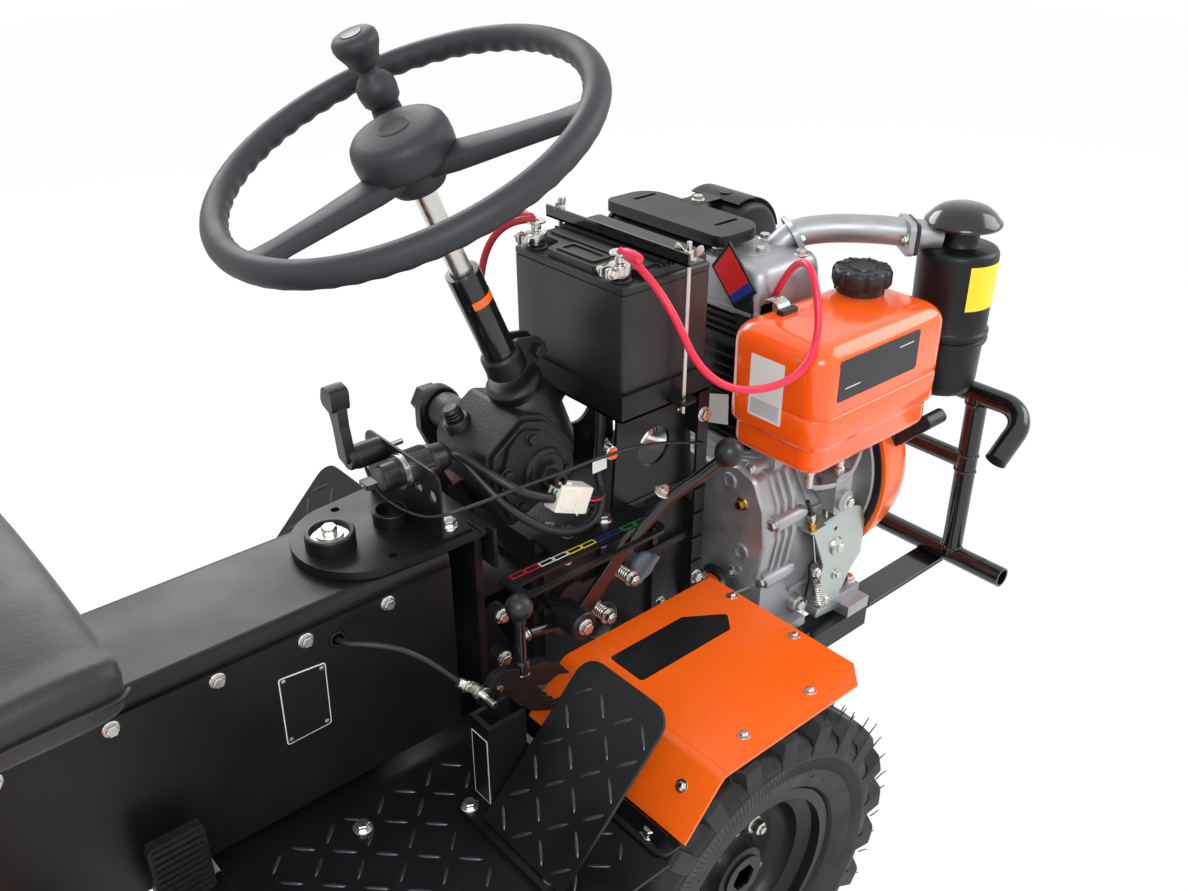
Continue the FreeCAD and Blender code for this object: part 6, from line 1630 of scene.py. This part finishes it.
def fan_side():
    """Fan cowl with its grilles, and the recoil starter's grip."""
    fan = Piece("fan_cowl", ORANGE_COAT, DIE_CAST, BLACK_PLASTIC, ZINC)
    face = 395.3
    hub = at(face, ENGINE_MIDDLE, 580)
    cowl = [(173, 0), (174, 3), (173, 8), (169, 40), (165, 56), (158, 66), (147, 71), (112, 72), (109, 68),
            (99, 68), (96, 72), (96, 96), (92, 98), (30, 98), (26, 95)]
    fan.turned(cowl, hub, X, steps=96)
    fan.turned([(112, -5), (154, -5), (156, -3), (156, 0.4), (112, 0.4)], hub, X, 1, steps=72, closed=True)
    fan.turned([(157, -2), (167, -2), (167, 0.4), (157, 0.4)], hub, X, 2, steps=72, closed=True)
    neck = rectangle(-84, 728, 36, 794, [0, 0, 20, 20])
    fan.crosswise(neck, face, 58)
    for count, reach, half_u, half_v, forward, thick in (
            (24, 127, 5, 17, 71.4, 1.4), (20, 60, 3, 26, 98, 0.8)):
        slot = rounded_box(half_u, half_v, half_u - 0.1, 5)
        for i in range(count):
            way = ray(2 * pi * i / count, Z, Y)
            fan.slab(slot, hub + way * reach + X * forward, X.cross(way), way, thick, 2)
    for turn in (40, 130, 220, 310):
        fan.bolt(hub + ray(radians(turn), Z, Y) * 103 + X * 68, X, 10, look=3)
    fan.done(["fan_housing"], edge=0.8, crease=38)

    grip = Piece("starter_grip", BLACK_PLASTIC)
    grip.crosswise(rounded([(-173, 645), (-225, 694), (-239, 680), (-186, 628)], [4, 8, 8, 4]), 422, 38)
    grip.block(at(418, -186, 626), at(462, -176, 654))
    grip.done(edge=2.0)


def governor_and_pump():
    """Injection pump with its pipe, and the governor's stop plate with lever, spring and cable end."""
    pump = Piece("governor_and_pump", ZINC_SHEET, ZINC, DIE_CAST, BLACK_CASTING, YELLOW_ZINC, BLACK_PVC)
    flank, side = -152.3, -170.0
    plate = [(279, 546), (360, 555), (379, 548), (393, 519), (392, 466), (372, 446), (345, 401), (304, 418),
             (304, 448), (308, 480)]
    plate = rounded(plate, [2, 6, 8, 10, 10, 10, 12, 8, 4, 6])
    pump.upright(plate, side, 4, holes=[circle(3.4, 12, 327, 532)[::-1]])
    # folded upper edge and the plate's stand-offs
    pump.upright(rounded([(279, 546), (360, 555), (360, 558), (279, 549)], 0.5), flank, 21)
    for ahead, up in ((332, 502), (340, 452), (318, 418)):
        pump.disc(8, 18, at(ahead, flank, up), -Y, 2, steps=20)
    pump.disc(14, 3.6, at(332, side - 4, 502), -Y, steps=32, top=12)
    pump.bolt(at(332, side - 7.4, 502), -Y, 12, look=1)
    pump.turned([(9, 0), (9, 2), (7, 2.6)], at(340, side - 4, 452), -Y, steps=28)
    pump.turned([(0, 0), (5, 0), (5, 3), (0, 3.4)], at(340, side - 6.4, 452), -Y, 1, steps=16)
    pump.bolt(at(318, side - 4, 418), -Y, 11, look=1)
    # bent foot below the plate
    foot = rounded([(300, 412), (322, 406), (352, 400), (350, 392), (296, 398)], 3)
    pump.upright(foot, flank, 26)
    # cable end: threaded ferrule with two nuts, short boot, bare wire down to the lever
    end = at(270, side - 3, 578)
    way = Vector((10, 0, -38)).normalized()
    pump.tube([end - way * 24 - X * 4, end - way * 8, end + way * 2], [3, 3.4, 3.4], 5, sides=14)
    ferrule = [(5.4, 0), (5.8, 2), (5.8, 9), (4.6, 10), (4.6, 34)]
    pump.turned(ferrule, end, way, 1, steps=24)
    for reach in (15, 23):
        pump.bolt(end + way * reach, way, 12, height=6, look=4, flange=False)
    pump.block(at(268, flank, 548), at(300, side - 8, 551))
    lever = [(272, 498), (290, 500), (296, 478), (290, 440), (279, 434), (272, 446), (278, 474)]
    pump.upright(rounded(lever, 6), side - 4, 4, 3)
    pump.turned([(0, 0), (7, 0), (7, 4), (0, 5)], at(283, side - 8, 484), -Y, 1, steps=24)
    pump.bolt(at(283, side - 12, 484), -Y, 10, look=1, flange=False)
    pump.tube([end + way * 33, at(281, side - 6, 520), at(282, side - 9, 500)], 0.9, 1, sides=6)
    # return spring with its hooked ends, and the short wire at the lever's foot
    spring = [at(286, side - 12, 478)]
    for k in range(91):
        middle = at(286 + 14 * k / 90, side - 12, 468 - 44 * k / 90)
        spring.append(middle + ray(2 * pi * k / 9, X, Y) * 5)
    pump.tube([*spring, at(302, side - 10, 416)], 1.0, 1, sides=7)
    pump.tube([at(274, side - 8, 440), at(268, side - 6, 412), at(282, side - 6, 396)], 0.9, 1, sides=6)
    # pump body, delivery nut and the pipe that climbs behind the tank
    pump.slab(rounded_box(17, 30, 6, 4), at(331, flank, 588), X, Z, 24, 2)
    pump.turned([(15, 0), (15, 6), (10, 9)], at(331, flank - 24, 578), -Y, 2, steps=28)
    pump.bolt(at(331, flank - 33, 578), -Y, 12, look=1)
    union = [(9, 0), (9, 6), (7, 8), (7, 20), (9, 21), (9, 34)]
    pump.turned(union, at(331, flank - 12, 618), Z, 1, steps=26)
    pump.disc(6, 22, at(275, flank - 8, 612), Z, 1, steps=20)
    pump.disc(9, 5, at(275, flank - 8, 634), Z, 1, steps=6)
    pump.tube([at(318, flank - 10, 574), at(320, flank - 10, 546)], 2.4, 1, sides=10)
    pipe = [at(275, flank - 8, 614), at(284, flank - 14, 610), at(312, flank - 20, 606),
            at(336, flank - 22, 610), at(356, flank - 20, 622), at(372, flank - 14, 640),
            at(384, flank, 668)]
    pump.tube(through(pipe, 8), 4.2, 2, sides=14)
    pump.done(["injection_pump"], edge=0.5, crease=36)


def guard():
    """Weld rings, straps and plugs of the bent-tube guard."""
    coat("front_guard", BLACK_ENAMEL)
    dress = Piece("guard_welds_and_caps", BLACK_ENAMEL, BLACK_PLASTIC)
    rail_top = 384 + 15.3
    bead = [2.2 + 0.5 * sin(k * 1.9) for k in range(37)]
    turns = [radians(72 + 6 * k) for k in range(37)]
    for side in (-1, 1):
        for up in (rail_top + 15, 559 - 13, 559 + 13, 668 - 15):
            dress.tube([at(580, side * 208, up) + ray(turn, X, Y) * 15 for turn in turns], bead, sides=8)
        # strap laid on the rail, turned up at its foot under the engine
        dress.block(at(396, side * 156, 384.2), at(572, side * 198, 387.4))
        dress.disc(4, 0.6, at(580, side * 262, rail_top + 14.6), Z, 1, steps=18)
        dress.disc(11.5, 1, at(511.5, side * 288, 619.6), (-0.81, 0, -0.58), 1, steps=24)
    dress.done(edge=0.5)


# ---------------- cables
def cables():
    """Battery cables, the loom with its connector, the throttle cable and their fittings."""
    post = at(16.5, 0, 964.3)
    plus = [post + Vector((0, -73.5, 5)), post + Vector((-6, -141, -6)), at(40.5, -197.5, 826),
            at(190.5, -231.5, 826), at(230.5, -157.5, 974.3), at(263, -86, 854)]
    cable("battery_cable_plus", plus, 9, RED_PVC, ["battery_cables"])
    minus = [post + Vector((0, 73.5, 5)), at(-33.5, 117.5, 972.3), at(-39.5, 117.5, 774.3),
             at(2.5, 91.8, 580)]
    cable("battery_cable_minus", minus, 9, DARK_RED_PVC)
    lugs = Piece("battery_cable_lugs", ZINC, DARK_RED_PVC, RED_PVC)
    for side, look in ((-1, 2), (1, 1)):
        eye = post + Y * side * 73.5
        lugs.turned([(4.4, 0), (12, 0), (12, 2.4), (4.4, 2.4)], eye + Z * 2, Z, steps=28, closed=True)
        sleeve = [eye + Vector((x, side * y, z)) for x, y, z in ((0, 8, 5), (-1, 22, 5), (-2, 34, 4.4))]
        lugs.tube(sleeve, [5.6, 6.4, 5.4], look, sides=16)
    lugs.done(edge=0.4)

    short_leg = [(-177.7, -5, 760), (-168, -5, 760), (-158, -34, 750), (-146, -62, 738), (-128, -84, 722),
                 (-93, -86, 706)]
    cable("loom_to_connector", [at(*p) for p in short_leg], 12, BLACK_PVC, ["wiring_loom"])
    long_leg = [(-177.7, -5, 760), (-168, -5, 760), (-160, -38, 736), (-150, -66, 714), (-128, -84, 688),
                (-96, -92, 664), (-58, -92, 650), (-24, -84, 650), (-4, -70, 668), (-3, -58, 698),
                (5, -54, 728), (7, -53, 752), (7, -53, 774.3)]
    cable("loom_main", [at(*p) for p in long_leg], 11, BLACK_PVC)
    tail = [(-46, -83, 688), (-26, -82, 678), (-8, -76, 672), (-4, -66, 682)]
    cable("loom_tail", [at(*p) for p in tail], 6, BLACK_PVC)
    loom_connector()
    throttle = [(-255, 40, 752.4), (-253, 36, 734), (-250, 16, 722), (-248, -20, 722), (-246, -58, 730),
                (-242, -82, 740), (-222, -94, 746), (-188, -98, 747), (-140, -101, 748), (-91, -105, 748),
                (-36, -104, 746), (22, -103, 739), (80, -101, 724), (137, -98.3, 700)]
    cable("throttle_cable_sheath", [at(*p) for p in throttle], 4, BLACK_PVC, ["throttle_cable"])
    cable_ends()


def loom_connector():
    """Two-row plug and socket of the loom, with its thin wires."""
    plug = Piece("loom_connector", WHITE_NYLON, YELLOW_WIRE, RED_PVC, GREEN_WIRE, BLACK_PVC)
    tilt = radians(-24)
    u, v = ray(tilt), ray(tilt, Z, -X)
    middle = at(-68, -84, 697)
    for half_u, half_v, corner, left, ahead, up, deep in (
            (25, 16.5, 1.5, 10, 0, 0, 20), (10, 12, 1, 11.4, -8, 0, 23), (2, 15, 0.8, 11, 6, 0, 22),
            (6, 3, 1, 4, -12, 16, 8), (3, 4, 1, 4, -24, 14, 8)):
        outline = rounded_box(half_u, half_v, corner, 2)
        plug.slab(outline, middle + Y * left + u * ahead + v * up, u, v, deep)
    root = at(-100, -86, 709)
    for i, look in enumerate((1, 2, 1, 3, 3, 4)):
        end = middle - u * 24 + Y * ((i % 2) * 7 - 3.5) + v * ((i // 2) * 8 - 8)
        plug.tube(through([root, root.lerp(end, 0.5) + v * (2 - i), end], 4), 1.5, look, sides=8)
    for i, look in enumerate((2, 2, 4, 4)):
        start = middle + u * 25 + Y * ((i % 2) * 7 - 3.5) - v * ((i // 2) * 6)
        wire = [start, start + u * 12 - Z * 2, at(-20, -82, 674 - i), at(-8, -76, 671)]
        plug.tube(through(wire, 4), 1.5, look, sides=8)
    plug.done(edge=0.5)


def cable_ends():
    """The brake cable's ferrule and clevis, and a push button with its blank tag on the stand."""
    ends = Piece("cable_end_fittings", ZINC, ORANGE_COAT, WHITE_FILM)
    start, end = at(-276, -152, 582), at(-260, -158, 569)
    way = (end - start).normalized()
    ferrule = [(5, 0), (6, 2), (6, 14), (5, 16), (5, 20)]
    ends.turned(ferrule, start - way * 2, way, steps=24)
    ends.bolt(start + way * 8 - Y * 3, -Y, 9)
    for hand in (-1, 1):
        ends.slab(rounded_box(9, 5, 3, 3), end + Y * (hand * 5 + 1), way, way.cross(Y), 2)
    pin = at(-258, -156, 565.3)
    ends.disc(4, 36, pin + Y * 2, -Y, steps=20)
    ends.disc(10, 1.6, pin - Y * 13, -Y, steps=24)
    ends.bolt(pin - Y * 13, Y, 15, height=9, flange=False)
    button = at(-3, -76.6, 731)
    ends.turned([(9, 0), (9, 8), (8, 9)], button, -Y, steps=28)
    ends.turned([(7, 9), (6.6, 12), (0, 13)], button, -Y, 1, steps=28)
    ends.slab(rounded_box(11, 9, 1), button - X * 12 - Z * 14, X, Z, 0.6, 2)
    ends.done(edge=0.4)


def brake_cable():
    """The sheath leaves the tunnel's cover and ends at the pedal."""
    route = [at(*p) for p in ((-372, -80.6, 646), (-372, -91, 646), (-352, -109.9, 647), (-324, -128.2, 637),
                              (-296, -144.1, 610), (-276, -152, 582))]
    line = cable("brake_cable_line", route, 7, BLACK_PVC)
    bpy.context.view_layer.update()
    shape = bpy.data.meshes.new_from_object(line)
    bpy.data.objects.remove(line)
    shape.shade_smooth()
    sheath = bpy.data.objects.new("brake_cable_sheath", shape)
    bpy.context.collection.objects.link(sheath)
    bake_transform(sheath)
    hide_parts("brake_cable")


# ---------------- seat
def seat():
    """Moulded seat: crowned cushion and back with sewn channels, sides drawn in."""
    low, high = node_box("seat")
    half, count = (high.y - low.y) / 2, 22
    back_x, base = FRONT_AXLE - 990, low.z
    # section through cushion and back, from the front edge over the top to the back's tip:
    # ahead, up and share of the half width
    top = [(390, 48, 0.93), (386, 60, 0.96), (372, 66, 1.0), (330, 67, 1.0), (250, 62, 1.0), (160, 58, 1.0),
           (90, 55, 1.0), (50, 60, 0.98), (18, 80, 0.96), (-2, 120, 0.95), (-16, 180, 0.93),
           (-28, 250, 0.9), (-38, 320, 0.86), (-48, 370, 0.8), (-58, 392, 0.7), (-72, 396, 0.66)]
    bottom = [(388, 10, 0.92), (384, 4, 0.95), (370, 1, 0.97), (330, 1, 0.98), (250, 1, 0.98),
              (160, 1, 0.98), (90, 1, 0.98), (20, 1, 0.96), (-30, 8, 0.94), (-58, 50, 0.93),
              (-68, 120, 0.92), (-78, 190, 0.9), (-88, 260, 0.88), (-96, 320, 0.84), (-98, 366, 0.78),
              (-92, 386, 0.7)]
    rings, piping = [], []
    for i, ((tx, tz, tw), (bx, bz, bw)) in enumerate(zip(top, bottom)):
        out = Vector((tx - bx, 0, tz - bz)).normalized()
        channel = 2.6 if i in (4, 6, 8, 10, 12) else 0.0
        upper, under = [], []
        for k in range(count + 1):
            s = -1 + 2 * k / count
            crown = 10 * (1 - s * s) - 4 * exp(-((abs(s) - 0.8) / 0.06) ** 2) - channel
            bolster = 9 * exp(-((abs(s) - 0.93) / 0.12) ** 2)
            spot = Vector((back_x + tx, s * half * tw * 0.985, base + tz))
            upper.append(spot + out * (crown + bolster - 10))
            under.append(Vector((back_x + bx, s * half * bw * 0.95, base + bz)))
        rings.append(upper + under[::-1])
        seam = back_x + tx * 0.45 + bx * 0.55, half * (tw + bw) * 0.486, base + tz * 0.45 + bz * 0.55
        piping.append(seam)
    cover = Piece("seat_upholstery", SEAT_VINYL)
    cover.loft(rings)
    cushion = cover.done(["seat"], body="seat_unit", crease=70, level=1)
    trim = Piece("seat_piping", BLACK_PVC)
    for side in (-1, 1):
        trim.tube(through([(x, side * y, z) for x, y, z in piping], 3), 2.6, sides=8)
    trim.done(body="seat_unit")


# ---------------- everything in order
steering_wheel()
steering_gear()
pitman_and_link()
battery()
battery_clamp()
fuel_tank()
air_cleaner()
exhaust()
guard()
for corner, outer in (("front_right", -1), ("front_left", 1), ("rear_right", -1), ("rear_left", 1)):
    tyre(corner, outer)
    wheel(corner, outer)
fenders()
floor_dress()
treadle("brake_treadle", "brake_pedal", -1, 178)
treadle("clutch_treadle", "clutch_pedal", 1, 178)
brake_latch()
tunnel_dress()
pivot_dress()
chassis()
controls()
shift_gate()
gear_lever()
shift_linkage()
gear_cover()
engine_castings()
engine_head()
fan_side()
governor_and_pump()
cables()
brake_cable()
seat()
